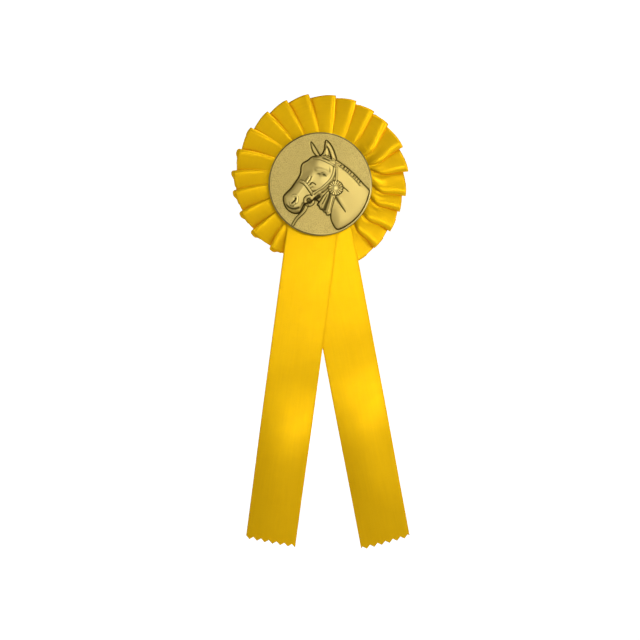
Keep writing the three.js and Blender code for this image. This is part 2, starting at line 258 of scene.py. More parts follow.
class Value:
    """A number that varies over a surface: arithmetic on it adds Math nodes."""

    def __init__(self, graph: "Graph", socket: bpy.types.NodeSocket) -> None:
        """Wraps one output socket."""
        self.graph = graph
        self.socket = socket

    def _math(self, operation: str, *values: "Value | float") -> "Value":
        """The result of one Math node on the values.

        Args:
            operation: The node's operation.
            values: What goes into it, in order.

        Returns:
            The node's result.
        """
        inputs = dict(enumerate(values))
        made = self.graph.node("ShaderNodeMath", {"operation": operation}, inputs)
        return Value(self.graph, made.outputs[0])

    def __add__(self, other: "Value | float") -> "Value":
        """self + other."""
        return self._math("ADD", self, other)

    def __radd__(self, other: float) -> "Value":
        """other + self."""
        return self._math("ADD", other, self)

    def __sub__(self, other: "Value | float") -> "Value":
        """self - other."""
        return self._math("SUBTRACT", self, other)

    def __rsub__(self, other: float) -> "Value":
        """other - self."""
        return self._math("SUBTRACT", other, self)

    def __mul__(self, other: "Value | float") -> "Value":
        """self * other."""
        return self._math("MULTIPLY", self, other)

    def __rmul__(self, other: float) -> "Value":
        """other * self."""
        return self._math("MULTIPLY", other, self)

    def __pow__(self, other: float) -> "Value":
        """self to the power of other."""
        return self._math("POWER", self, other)

    def __abs__(self) -> "Value":
        """The size of self."""
        return self._math("ABSOLUTE", self)

    def sine(self) -> "Value":
        """The sine of self, in radians."""
        return self._math("SINE", self)

    def held(self, low: float = 0.0, high: float = 1.0) -> "Value":
        """self eased from 0 at low to 1 at high, and held there."""
        made = self.graph.node(
            "ShaderNodeMapRange", {"interpolation_type": "SMOOTHSTEP"}, {0: self, 1: low, 2: high}
        )
        return Value(self.graph, made.outputs[0])


class Graph:
    """The node tree of one material."""

    def __init__(self, name: str) -> None:
        """Starts an empty material of that name.

        Args:
            name: The material's name.
        """
        self.material = bpy.data.materials.new(name)
        self.material.use_nodes = True
        self.tree = self.material.node_tree
        self.tree.nodes.clear()

    def node(
        self,
        kind: str,
        settings: Mapping[str, Any] | None = None,
        inputs: Mapping[str | int, Any] | None = None,
    ) -> bpy.types.Node:
        """Adds a node.

        Args:
            kind: The node's type.
            settings: Its properties, set before its sockets; "stops" are a ramp's (place, colour) pairs.
            inputs: Values or links, by socket name or number.

        Returns:
            The new node.
        """
        made = self.tree.nodes.new(kind)
        for key, value in (settings or {}).items():
            if key == "stops":
                self._set_stops(made.color_ramp, value)
            else:
                setattr(made, key, value)
        for key, value in (inputs or {}).items():
            if isinstance(value, Value):
                value = value.socket
            if isinstance(value, bpy.types.NodeSocket):
                self.tree.links.new(value, made.inputs[key])
            else:
                made.inputs[key].default_value = value
        return made

    @staticmethod
    def _set_stops(ramp: bpy.types.ColorRamp, stops: Sequence[tuple[float, Colour]]) -> None:
        """Gives a ramp its stops.

        Args:
            ramp: The ramp.
            stops: The place and colour of each, in order.
        """
        while len(ramp.elements) > 1:
            ramp.elements.remove(ramp.elements[-1])
        ramp.elements[0].position = stops[0][0]
        ramp.elements[0].color = (*stops[0][1], 1.0)
        for place, colour in stops[1:]:
            ramp.elements.new(place).color = (*colour, 1.0)

    def place(self) -> bpy.types.NodeSocket:
        """Object coordinates, in metres in the shared frame."""
        return self.node("ShaderNodeTexCoord").outputs["Object"]

    def cloth(self) -> bpy.types.NodeSocket:
        """Places on the flat cloth, along and across, in millimetres."""
        return self.node("ShaderNodeUVMap", {"uv_map": "cloth"}).outputs["UV"]

    def attribute(self, name: str) -> Value:
        """A number stored on the mesh's points."""
        return Value(self, self.node("ShaderNodeAttribute", {"attribute_name": name}).outputs["Fac"])

    def stretched(self, vector: bpy.types.NodeSocket, by: Sequence[float]) -> bpy.types.NodeSocket:
        """The vector with each part multiplied."""
        return self.node("ShaderNodeVectorMath", {"operation": "MULTIPLY"}, {0: vector, 1: by}).outputs[0]

    def part(self, vector: bpy.types.NodeSocket, axis: str) -> Value:
        """One part of a vector: X, Y or Z."""
        return Value(self, self.node("ShaderNodeSeparateXYZ", None, {0: vector}).outputs[axis])

    def noise(self, vector: bpy.types.NodeSocket, scale: float, detail: float = 2.0) -> Value:
        """Smooth noise from 0 to 1."""
        made = self.node("ShaderNodeTexNoise", None, {"Vector": vector, "Scale": scale, "Detail": detail})
        return Value(self, made.outputs["Fac"])

    def blended(self, share: Value, a: Any, b: Any) -> bpy.types.NodeSocket:
        """Colour a where the share is 0 and colour b where it is 1.

        Args:
            share: From 0 to 1.
            a: A colour, or a socket that gives one.
            b: The same.

        Returns:
            The blended colour.
        """
        pair = [(*c, 1.0) if isinstance(c, tuple) and len(c) == 3 else c for c in (a, b)]
        made = self.node("ShaderNodeMix", {"data_type": "RGBA"}, {0: share, 6: pair[0], 7: pair[1]})
        return made.outputs[2]

    def bump(self, height: Value, depth: float, strength: float = 1.0) -> bpy.types.NodeSocket:
        """A normal from a height that runs from 0 to 1, for that depth in millimetres."""
        inputs = {"Height": height, "Distance": depth * MM, "Strength": strength}
        return self.node("ShaderNodeBump", None, inputs).outputs["Normal"]

    def finish(self, **inputs: Any) -> bpy.types.Material:
        """Closes the tree with a Principled shader, whose inputs are named with _ for a space.

        Args:
            inputs: Values or links of the shader's sockets.

        Returns:
            The finished material.
        """
        named = {key.replace("_", " "): value for key, value in inputs.items()}
        shader = self.node("ShaderNodeBsdfPrincipled", None, named)
        self.node("ShaderNodeOutputMaterial", None, {"Surface": shader.outputs[0]})
        return self.material


@dataclass(frozen=True)
class SatinRibbon:
    """Warp-faced satin ribbon with a woven edge."""

    name: str = "yellow_satin"
    colour: Colour = (0.93, 0.545, 0.006)
    deep: Colour = (0.80, 0.43, 0.003)
    width: float = 25.0
    thread: float = 0.34  # from one ridge of the warp to the next
    pick: float = 0.8  # from one rib of the weft to the next, over the warp's
    selvedge: float = 1.0  # width of the closer-woven edge

    def material(self) -> bpy.types.Material:
        """Long warp streaks, finer weft ribs, and a narrow closer-woven edge on both sides.

        Returns:
            The material.
        """
        g = Graph(self.name)
        cloth = g.cloth()
        across = g.part(cloth, "Y")
        along = g.part(cloth, "X")
        streaks = g.noise(g.stretched(cloth, (0.06, 1.1, 1.0)), 1.0, 3.0)
        slubs = g.noise(g.stretched(cloth, (1.6, 0.22, 1.0)), 1.0, 2.0)
        clouds = g.noise(cloth, 0.09, 2.0)
        warp = (across * (2 * math.pi / self.thread)).sine() * 0.5 + 0.5
        weft = (along * (2 * math.pi / (self.thread * self.pick))).sine() * 0.5 + 0.5
        start = self.width / 2 - self.selvedge
        edge = abs(across - self.width / 2).held(start, start + self.selvedge / 4)
        tone = (0.28 + streaks * 0.22 + slubs * 0.12 + clouds * 0.2).held(0.25, 0.8)
        colour = g.blended(tone, self.deep, self.colour)
        colour = g.blended(edge * 0.35, colour, self.deep)
        weave = warp * 0.35 + weft * 0.2 + slubs * 0.3 + edge * weft * 0.6
        return g.finish(
            Base_Color=colour,
            Metallic=0.55,
            Roughness=0.34 + 0.12 * slubs + 0.1 * edge,
            Normal=g.bump(weave, 0.05, 0.5),
            Specular_IOR_Level=0.35,
            Specular_Tint=(1.0, 0.78, 0.04, 1.0),
        )


@dataclass(frozen=True)
class GoldFoil:
    """Embossed gold foil: bright with a painted highlight where it stands up, dull and darker with painted
    shade where it is pressed in.
    """

    name: str = "gold_foil"
    colour: Colour = (0.53, 0.40, 0.12)
    # the painted highlight's colour
    high: Colour = (0.86, 0.70, 0.25)
    # the colour of the painted shade, and of the dark grain on the field
    shade_and_grain: Colour = (0.062, 0.048, 0.012)

    def material(self) -> bpy.types.Material:
        """A fine grain all over, a painted highlight on the high spots, and painted shade in the recesses and
        on the relief's shaded sides.

        Returns:
            The material.
        """
        g = Graph(self.name)
        place = g.place()
        # The hollow attribute holds painted shade, crown holds painted highlight, and field marks the plain
        # field.
        hollow = g.attribute("hollow")
        crown = g.attribute("crown")
        field = g.attribute("field")
        grain = g.noise(place, 2600.0, 3.0)
        patches = g.noise(place, 140.0, 3.0)
        # Painted highlight on the high places.
        colour = g.blended(crown * (0.25 + 0.3 * patches), self.colour, self.high)
        # Painted shade on the relief's shaded sides, in its hollows and lines, and on the turned-down edge.
        colour = g.blended((hollow * (0.75 + 0.5 * patches)).held(), colour, self.shade_and_grain)
        # Dark grain on the plain field.
        colour = g.blended((grain * field).held(0.4, 0.75) * 0.4, colour, self.shade_and_grain)
        return g.finish(
            Base_Color=colour,
            Metallic=1.0,
            Roughness=0.4 + 0.02 * field + 0.08 * patches,
            Normal=g.bump(grain * (0.35 + field), 0.08, 0.7),
        )


@dataclass(frozen=True)
class Paperboard:
    """White card with a soft fibre."""

    name: str = "white_card"
    colour: Colour = (0.80, 0.79, 0.75)
    deep: Colour = (0.66, 0.64, 0.59)

    def material(self) -> bpy.types.Material:
        """Fine fibres and faint clouding.

        Returns:
            The material.
        """
        g = Graph(self.name)
        place = g.place()
        fibre = g.noise(g.stretched(place, (900.0, 900.0, 2600.0)), 1.0, 4.0)
        cloud = g.noise(place, 60.0, 3.0)
        colour = g.blended((fibre * 0.5 + cloud * 0.5).held(0.3, 0.7), self.deep, self.colour)
        return g.finish(Base_Color=colour, Roughness=0.82 + 0.1 * fibre, Normal=g.bump(fibre, 0.03, 0.5))


@dataclass(frozen=True)
class PlatedSteel:
    """Nickel-plated steel with fine drawing marks."""

    name: str = "plated_steel"
    colour: Colour = (0.46, 0.47, 0.48)
    worn: Colour = (0.30, 0.30, 0.29)
    streak: tuple[float, float, float] = (120.0, 3000.0, 3000.0)

    def material(self) -> bpy.types.Material:
        """Streaks along the drawn wire and small dull spots.

        Returns:
            The material.
        """
        g = Graph(self.name)
        place = g.place()
        drawn = g.noise(g.stretched(place, self.streak), 1.0, 2.0)
        spots = g.noise(place, 700.0, 3.0)
        colour = g.blended(spots.held(0.4, 0.95), self.colour, self.worn)
        return g.finish(
            Base_Color=colour,
            Metallic=1.0,
            Roughness=0.2 + 0.16 * drawn + 0.12 * spots,
            Normal=g.bump(drawn, 0.012, 0.4),
        )


@dataclass(frozen=True)
class PlainSolid:
    """A moulded, foamed or melted stuff: a colour with a soft texture."""

    name: str
    colour: Colour
    deep: Colour
    grain: float  # of the texture, per metre
    depth: float  # of the texture, in millimetres
    roughness: float

    def material(self) -> bpy.types.Material:
        """Two tones and a bump from one noise.

        Returns:
            The material.
        """
        g = Graph(self.name)
        place = g.place()
        grain = g.noise(place, self.grain, 3.0)
        cloud = g.noise(place, self.grain * 0.12, 2.0)
        colour = g.blended((grain * 0.6 + cloud * 0.4).held(0.3, 0.7), self.deep, self.colour)
        return g.finish(
            Base_Color=colour,
            Roughness=self.roughness + 0.12 * (grain - 0.5),
            Normal=g.bump(grain, self.depth, 0.6),
        )


class Finish(Enum):
    """Every finish on the rosette."""

    SATIN = SatinRibbon()
    FOIL = GoldFoil()
    CARD = Paperboard()
    STEEL = PlatedSteel()
    DISC = PlainSolid("moulded_disc", (0.03, 0.03, 0.032), (0.02, 0.02, 0.02), 1800, 0.03, 0.5)
    FOAM = PlainSolid("foam_pad", (0.8, 0.8, 0.78), (0.62, 0.62, 0.6), 2600, 0.12, 0.9)
    GLUE = PlainSolid("melted_glue", (0.72, 0.66, 0.5), (0.6, 0.53, 0.37), 500, 0.15, 0.38)
    THREAD = PlainSolid("sewing_thread", (0.84, 0.5, 0.01), (0.6, 0.33, 0.005), 5200, 0.1, 0.8)


Materials = dict[Finish, bpy.types.Material]


def dress(piece: bpy.types.Object, material: bpy.types.Material) -> None:
    """Gives a piece its one material."""
    piece.data.materials.clear()
    piece.data.materials.append(material)


def stand_for(piece: bpy.types.Object, slot: str, *nodes: str) -> None:
    """Hides the CAD nodes that a piece replaces."""
    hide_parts(*nodes)


# ---------------------------------------------------------------------------------------------------------
# The pleated ring
# ---------------------------------------------------------------------------------------------------------


@dataclass
class PleatedRing:
    """One tier of knife pleats: each lies over the next one clockwise, and its fold is soft.

    On the left the folds turn clockwise on their way in to the medal. On the right they hook back instead.
    """

    folds: tuple[float, ...] = (
        -141, -123.6, -108.4, -93.4, -80.5, -65.9, -50.3, -35.5, -21.5, -7.2, 10.1, 23.5, 36.6, 48.5, 65.5,
        81.4, 97.7, 108.9, 124, 139.6, 155.5, 171.4, 187.2, 203.1,
    )
    pulls: tuple[float, ...] = (  # how much farther out each pleat reaches
        -2.6, -1.8, -1.5, -0.9, -0.3, -0.3, 0.2, 0, 0.2, 0.2, -0.2, 0.2, 0.3, 0.6, 0.9, 0.4, -0.6, -1.4,
        -1.0, -1.0, 0, -0.3, 0, -1.0,
    )
    leans: tuple[float, ...] = (  # degrees that each fold turns clockwise on its way in to the medal
        6, 3.4, 4.4, 5, 6.7, 6.9, 6.2, 4.7, 4.7, 6, 3, 4.2, 3.4, 8.7, 2.6, -9.1, -7.4, -5.5, 0, -2.4,
        0, 2, 4, 5,
    )
    hook: float = 2.6  # power of the turn of a fold that goes back on its way in
    turning: float = 0.74  # share of the width over which a fold turns
    ribbon: tuple[float, float] = (25.0, 24.6)  # width, and length in one pleat
    thickness: float = 0.16
    inner_radius: float = 18.6
    outer_radius: float = 42.7
    rise: float = 1.55  # of the ring's edge above the medal's centre
    notch: float = 1.7  # how far a panel's edge falls back from its own fold
    peek: float = 1.2  # how far a lower layer shows past the edge
    fullness: float = 0.7  # how much bigger the right-hand folds are
    full_side: float = 100.0  # bearing where they are fullest
    peek_side: float = -112.0  # bearing where the lower layers show most
    rear: tuple[float, float] = (3.6, 0.6)  # depth of the lowest layer at the inner and outer edge
    climb: tuple[float, float] = (2.6, 6.0)  # from the lowest layer to the fold's top
    fold_reach: tuple[float, float] = (0.7, 2.1)  # how far the rounding runs back from the fold
    fold_depth: tuple[float, float] = (0.24, 1.1)  # half the height of the rounding
    swelling: float = 0.5  # of a panel's middle
    crown: tuple[float, float] = (2.2, 0.9)  # on the right, the folds' rise and the panels' fall mid-width
    sway: float = 1.5  # how far the right-hand folds bow sideways
    warp: float = 0.35  # slow rise and fall of the whole ring, three times round
    steps: tuple[int, int, int, int] = (20, 12, 10, 4)  # points on the panel, fold, return and back fold
    rows: int = 25  # points across the ribbon's width
    seed: int = 7
    body: str = "rosette"

    def profile(self, pitch: Array, across: Array, full: Array) -> tuple[Array, Array, Array]:
        """One pleat's path, for every pleat and every place across the width.

        With s the distance behind the fold, P the pitch, D = (L - P) / 2 the part that is folded under,
        F the reach of the fold's rounding and H the climb, the panel stands at H (1 - s / (P + D)) plus its
        swelling times sin(pi (s - F) / (P + D - F)). The rounded fold is half an ellipse at the panel's
        end, and the return drops in a straight line to the back fold at s = D, where the next panel starts.

        Args:
            pitch: P for each pleat and place across, in millimetres.
            across: 0 at the inner edge to 1 at the outer, for each place across.
            full: How many times bigger the fold's rounding is, for each pleat and place across.

        Returns:
            The distance behind the fold, the height over the lowest layer, and 1 on the return or 0
            elsewhere, each pleats x points x places across.
        """
        panel_points, fold_points, return_points, back_points = self.steps
        under = (self.ribbon[1] - pitch) / 2
        climb = mix(*self.climb, smoothstep(across))
        reach = mix(*self.fold_reach, across) * np.sqrt(full)
        half = mix(*self.fold_depth, across) * full
        back = 0.5 * half
        whole = pitch + under
        shape = np.broadcast_shapes(pitch.shape, climb.shape)
        climb, reach, half, back = (np.broadcast_to(x, shape)[:, None, :] for x in (climb, reach, half, back))
        whole, under = whole[:, None, :], under[:, None, :]
        t = (np.arange(panel_points) / panel_points)[None, :, None]
        panel = whole + (reach - whole) * t
        swelling = self.swelling * np.sin(np.pi * (panel - reach) / (whole - reach))
        panel_height = climb * (1 - panel / whole) + swelling
        turn = (np.pi / 2 - np.pi * (np.arange(fold_points) / fold_points))[None, :, None]
        fold = reach * (1 - np.cos(turn))
        top = climb * (1 - reach / whole)
        fold_height = top - half + half * np.sin(turn)
        t = (np.arange(return_points) / return_points)[None, :, None]
        back_run = reach + (under - reach) * t
        return_height = (top - 2 * half) + (2 * back - (top - 2 * half)) * t
        turn = (np.pi * (np.arange(back_points) / back_points))[None, :, None]
        back_fold = under + back * np.sin(turn)
        back_height = back + back * np.cos(turn)
        distance = np.concatenate([panel, fold, back_run, back_fold], axis=1)
        height = np.concatenate([panel_height, fold_height, return_height, back_height], axis=1)
        below = np.zeros(distance.shape)
        below[:, panel_points + fold_points // 2 :, :] = 1.0
        return distance, height, below

    def build(self, materials: Materials) -> bpy.types.Object:
        """Lays the pleats round the ring, warps the space they lie in, and makes the sheet.

        A point at s behind its fold and at the share w across the ribbon lies at the fold's bearing less
        s / r, with r the radius at w. Its radius is then stretched so that w = 1 reaches the edge, which
        falls back behind each fold, and its depth is the lowest layer's plus the pleat's height.

        Args:
            materials: The material of each finish.

        Returns:
            The sheet of cloth.
        """
        random = np.random.default_rng(self.seed)
        across = np.linspace(0, 1, self.rows)[None, :]
        radius = self.inner_radius + (self.outer_radius - self.inner_radius) * across
        lean = np.array(self.leans)[:, None]
        inwards = np.clip((1 - across) / self.turning, 0, 1) ** np.where(lean < 0, self.hook, 1.0)
        ends = np.radians(np.array(self.folds)[:, None] + lean * inwards)
        gap = (ends - np.roll(ends, 1, 0)) % (2 * np.pi)
        full = 1 + self.fullness * facing(ends, self.full_side, 0.25, 0.5)
        distance, height, below = self.profile(gap * radius, across, full)
        count, points, rows = distance.shape
        across = across[:, None, :]
        share = distance / (gap * radius)[:, None, :]
        bearing = ends[:, None, :] - distance / radius[:, None, :]
        # The edge of each panel falls back behind its fold.
        pull = np.array(self.pulls)[:, None, None]
        edge = self.outer_radius + self.rise * np.cos(bearing) + pull
        edge = edge - self.notch * smoothstep(share * 0.75) * (1 - 0.35 * below)
        # At the lower left the layers underneath show past the edge.
        shown = facing(bearing, self.peek_side, 0.35, 0.5) * below
        edge = edge + self.peek * shown * smoothstep(share / 0.03) * (1 - smoothstep((share - 0.3) / 0.07))
        reach = self.inner_radius + (edge - self.inner_radius) * across
        swell = random.uniform(0.88, 1.08, count)[:, None, None]
        depth = mix(*self.rear, across) + height * swell
        # On the right the pleats are fuller: they rise beside the medal and their folds sway.
        right = facing(bearing, self.full_side, 0.25, 0.6)
        rise, valley = self.crown
        lift = rise * height / self.climb[1] - valley * bell((share - 0.8) / 0.25) * (1 - below)
        depth = depth + right * bell((across - 0.42) / 0.2) * lift
        bearing = bearing + self.sway * right * bell((across - 0.48) / 0.2) / reach
        depth = depth + self.warp * np.sin(np.pi * across) * np.cos(3 * bearing + 1.0)
        places = np.stack([reach * np.sin(bearing), -depth, reach * np.cos(bearing)], axis=-1)
        middle = self._softened(places.reshape(count * points, rows, 3))
        gaps = np.linalg.norm(np.diff(middle[:, rows // 2], axis=0), axis=1)
        run = np.concatenate([[0], np.cumsum(gaps)])
        cloth = np.stack(np.broadcast_arrays(run[:, None], across[0] * self.ribbon[0]), axis=-1)
        made = sheet_object("pleated_ribbon_cloth", middle, self.thickness, cloth, wrap_rows=True)
        dress(made, materials[Finish.SATIN])
        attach(made, self.body)
        stand_for(made, "ribbon", "pleated_ribbon")
        return made

    @staticmethod
    def _softened(points: Array, passes: int = 3) -> Array:
        """Each point moved to a quarter, a half and a quarter of its neighbours along the ribbon."""
        for _ in range(passes):
            points = 0.25 * np.roll(points, 1, 0) + 0.5 * points + 0.25 * np.roll(points, -1, 0)
        return points


# ---------------------------------------------------------------------------------------------------------
# The tails
# ---------------------------------------------------------------------------------------------------------


class Side(Enum):
    """Which tail, seen from the front."""

    LEFT = "left"
    RIGHT = "right"


@dataclass
class Tail:
    """One hanging ribbon, from its top under the medal to its pinked end."""

    side: Side
    lean: float  # degrees; positive hangs to the right
    root: float  # where its centre line crosses the hinge line
    depth: float  # in front of the back cover's rear face, where it comes out
    length: float  # from the hinge line to the pinked end
    skew: float  # degrees that the cut is off square
    phase: float  # of its ripples
    bite: float = 0.0  # how far into a tooth the cut starts
    crease: float = 0.02  # radians that each edge is turned back at the top
    curl: float = 0.32  # and how much more near the end
    curling: tuple[float, float] = (60.0, 70.0)  # where the curl starts, and the length that it grows over
    settling: tuple[float, float] = (1.4, 15.0)  # how far it falls back below the ring, and from where
    swing: tuple[float, float] = (6.6, 86.0)  # how far its end turns back, and from where
    width: float = 25.0
    thickness: float = 0.2
    hinge: float = -27.0
    top: float = -10.5
    teeth: float = 6.5
    tooth: float = 1.55
    cut: float = 10.0  # length that stretches to the zigzag
    rows: int = 150
    cut_rows: int = 12

    def build(self, materials: Materials) -> bpy.types.Object:
        """A strip along a straight centre line, with soft waves in depth and a zigzag at its end.

        A point is named by the distance down from the hinge line and the distance across. Its depth is the
        tab's, plus long ripples that grow downwards, less a smoothstep that settles it back below the ring
        and a parabola that swings its end back. Lower down the width curls to an arc of radius R: a thread
        at s from the centre line stands at R sin(s / R) across and R (1 - cos(s / R)) back. The last rows
        stretch to the zigzag, a triangle wave across the width.

        Args:
            materials: The material of each finish.

        Returns:
            The sheet of cloth.
        """
        columns = int(self.teeth * 2) * 4 + 1
        start = self.top - self.hinge
        v = np.linspace(-0.5, 0.5, columns)[None, :]
        across = v * self.width
        wave = 2 * np.abs(((v + 0.5) * self.teeth + self.bite) % 1.0 - 0.5)
        end = self.length + across * math.tan(math.radians(self.skew)) + self.tooth * (1 - wave)
        down = np.linspace(-start, 0, self.rows)[:, None]
        straight = self.length - self.cut
        down = -start + (down + start) * ((straight + start) / start)
        down = np.broadcast_to(down, (self.rows, columns))
        last = np.linspace(0, 1, self.cut_rows + 1)[1:, None]
        down = np.concatenate([down, straight + last * (end - straight)])
        across = np.broadcast_to(across, down.shape)
        lean = math.radians(self.lean)
        curled = smoothstep((down - self.curling[0]) / self.curling[1])
        arc = 2 * (self.crease + self.curl * curled) / self.width
        chord = np.sin(across * arc) / arc
        x = self.root + down * math.sin(lean) + chord * math.cos(lean)
        z = self.hinge - down * math.cos(lean) + chord * math.sin(lean)
        free = smoothstep((down - 14.0) / 60.0)
        ripple = 0.55 * np.sin(down / 17.0 + self.phase) + 0.3 * np.sin(down / 7.5 + 2 * self.phase + v)
        fall = (1 - np.cos(across * arc)) / arc
        settled = self.settling[0] * smoothstep((down - self.settling[1]) / 60.0)
        swung = self.swing[0] * np.clip((down - self.swing[1]) / 62.0, 0, None) ** 2
        depth = self.depth + free * ripple - fall - (settled + swung)
        middle = np.stack([x, -depth, z], axis=-1)
        cloth = np.stack([down, across + self.width / 2], axis=-1)
        name = f"tail_{self.side.value}"
        made = sheet_object(f"{name}_cloth", middle, self.thickness, cloth, flip=True)
        dress(made, materials[Finish.SATIN])
        stand_for(made, "ribbon", name, f"{name}_tab")
        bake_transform(made)
        return made


# ---------------------------------------------------------------------------------------------------------
# The medal
# ---------------------------------------------------------------------------------------------------------

class Relief:
    """A height over the medal's face, with painted shade and highlight, built from outlines and strokes. x
    runs right and z up.
    """

    def __init__(self, x: Array, z: Array) -> None:
        """Starts flat over the given places.

        Args:
            x: Each place to the right of the centre.
            z: Each place above the centre.
        """
        self.x = x
        self.z = z
        self.height = np.zeros(x.shape)
        # painted shade on the foil, from 0 to 1
        self.painted_shade = np.zeros(x.shape)
        # painted highlight on the foil
        self.painted_highlight = np.zeros(x.shape)

    def distance(self, line: Array, closed: bool = False) -> tuple[Array, Array]:
        """How far every place is from a line of short straight pieces.

        To each piece from a to b, the nearest point is a + t (b - a), with t the place's projection on the
        piece held between 0 and 1.

        Args:
            line: The line's points.
            closed: Whether its last point joins its first.

        Returns:
            The distance, and how far along the line the nearest point is, from 0 to 1.
        """
        ends = np.roll(line, -1, 0) if closed else line[1:]
        starts = line if closed else line[:-1]
        lengths = np.linalg.norm(ends - starts, axis=1)
        before = np.concatenate([[0], np.cumsum(lengths)])
        nearest = np.full(self.x.shape, 1e9)
        along = np.zeros(self.x.shape)
        for (ax, az), (bx, bz), length, run in zip(starts, ends, lengths, before):
            if length < 1e-9:
                continue
            t = np.clip(((self.x - ax) * (bx - ax) + (self.z - az) * (bz - az)) / length**2, 0, 1)
            gap = np.hypot(self.x - ax - t * (bx - ax), self.z - az - t * (bz - az))
            closer = gap < nearest
            nearest = np.where(closer, gap, nearest)
            along = np.where(closer, run + t * length, along)
        return nearest, along / before[-1]

    def inside(self, outline: Array) -> Array:
        """How deep every place is inside a closed outline, negative outside.

        A place is inside when a line from it to the right crosses the outline an odd number of times.

        Args:
            outline: The outline's points, in order.

        Returns:
            The distance from the outline at each place.
        """
        depth, _ = self.distance(outline, closed=True)
        odd = np.zeros(self.x.shape, bool)
        for (ax, az), (bx, bz) in zip(outline, np.roll(outline, -1, 0)):
            if az == bz:
                continue
            spans = (az > self.z) != (bz > self.z)
            odd ^= spans & (self.x < ax + (self.z - az) * (bx - ax) / (bz - az))
        return np.where(odd, depth, -depth)

    def darken(self, shade: Array | float) -> None:
        """Paints shade: makes every place at least as dark as the given shade, from 0 to 1."""
        self.painted_shade = np.maximum(self.painted_shade, shade)

    def lay(self, cover: Array, height: Array | float) -> None:
        """Covers what is underneath, where the cover is 1, with a clean surface at that height, and clears
        the painted shade there.
        """
        self.height = mix(self.height, height, cover)
        self.painted_shade = self.painted_shade * (1 - cover)

    def mound(self, depth: Array, step: float, edge: float, crown: float = 0.0, reach: float = 1.0) -> None:
        """Adds a raised shape: a steep step at its outline, then a dome that levels off at the reach."""
        self.height += step * smoothstep(depth / edge) + crown * dome(depth / reach)

    def ditch(self, depth: Array, deep: float, wide: float, painted_shade: float) -> None:
        """Presses a fine line in just outside an outline, with painted shade along it.

        Args:
            depth: How deep each place is inside the outline.
            deep: How far the line is pressed in.
            wide: Its half width.
            painted_shade: How dark it is.
        """
        line = bell((depth + 0.5 * wide) / wide)
        self.height -= deep * line
        self.darken(painted_shade * bell((depth + 0.35 * wide) / wide))

    def stroke(
        self,
        points: Points,
        width: float | tuple[float, float],
        raised: float,
        painted_shade: float = 0.0,
        sharp: float = 2.0,
        where: Array | float = 1.0,
    ) -> None:
        """Adds a band along a smooth line, raised or pressed in, with painted shade along the margins of a
        raised band or in the bed of a pressed one.

        Args:
            points: Points on the band's middle line.
            width: The band's half width, or its half width at each end.
            raised: Its height in millimetres, negative where it is pressed in.
            painted_shade: How dark the margins of a raised band, or the bed of a pressed one, are.
            sharp: The power of the falloff exp(-(distance / width)^(2 sharp)).
            where: A mask.
        """
        away, along = self.distance(smooth_line(points))
        ends = width if isinstance(width, tuple) else (width, width)
        half = mix(ends[0], ends[1], along)
        body = np.exp(-np.power(away / half, 2 * sharp)) * where
        self.height += raised * body
        shade = bell((away - 1.25 * half) / 0.28) if raised > 0 else body
        self.darken(painted_shade * shade * where)

    def strokes(self, *bands: tuple) -> None:
        """Adds one stroke after another, each from a stroke's arguments."""
        for band in bands:
            self.stroke(*band)

    def bump(self, x: float, z: float, across: float, tall: float, turn: float, raised: float) -> Array:
        """Adds a bell-shaped bump with two half widths, turned by an angle, and returns its bell.

        The bell is exp(-(u^2 + v^2)), with u and v the distances from its middle along its two turned
        axes, over its half widths.

        Args:
            x: Its middle, to the right.
            z: Its middle, upwards.
            across: The first half width.
            tall: The second.
            turn: Degrees that it is turned anticlockwise.
            raised: Its height.

        Returns:
            The bell, from 0 to 1.
        """
        c, s = math.cos(math.radians(turn)), math.sin(math.radians(turn))
        u = ((self.x - x) * c + (self.z - z) * s) / across
        v = ((self.z - z) * c - (self.x - x) * s) / tall
        shape = np.exp(-(u * u + v * v))
        self.height += raised * shape
        return shape


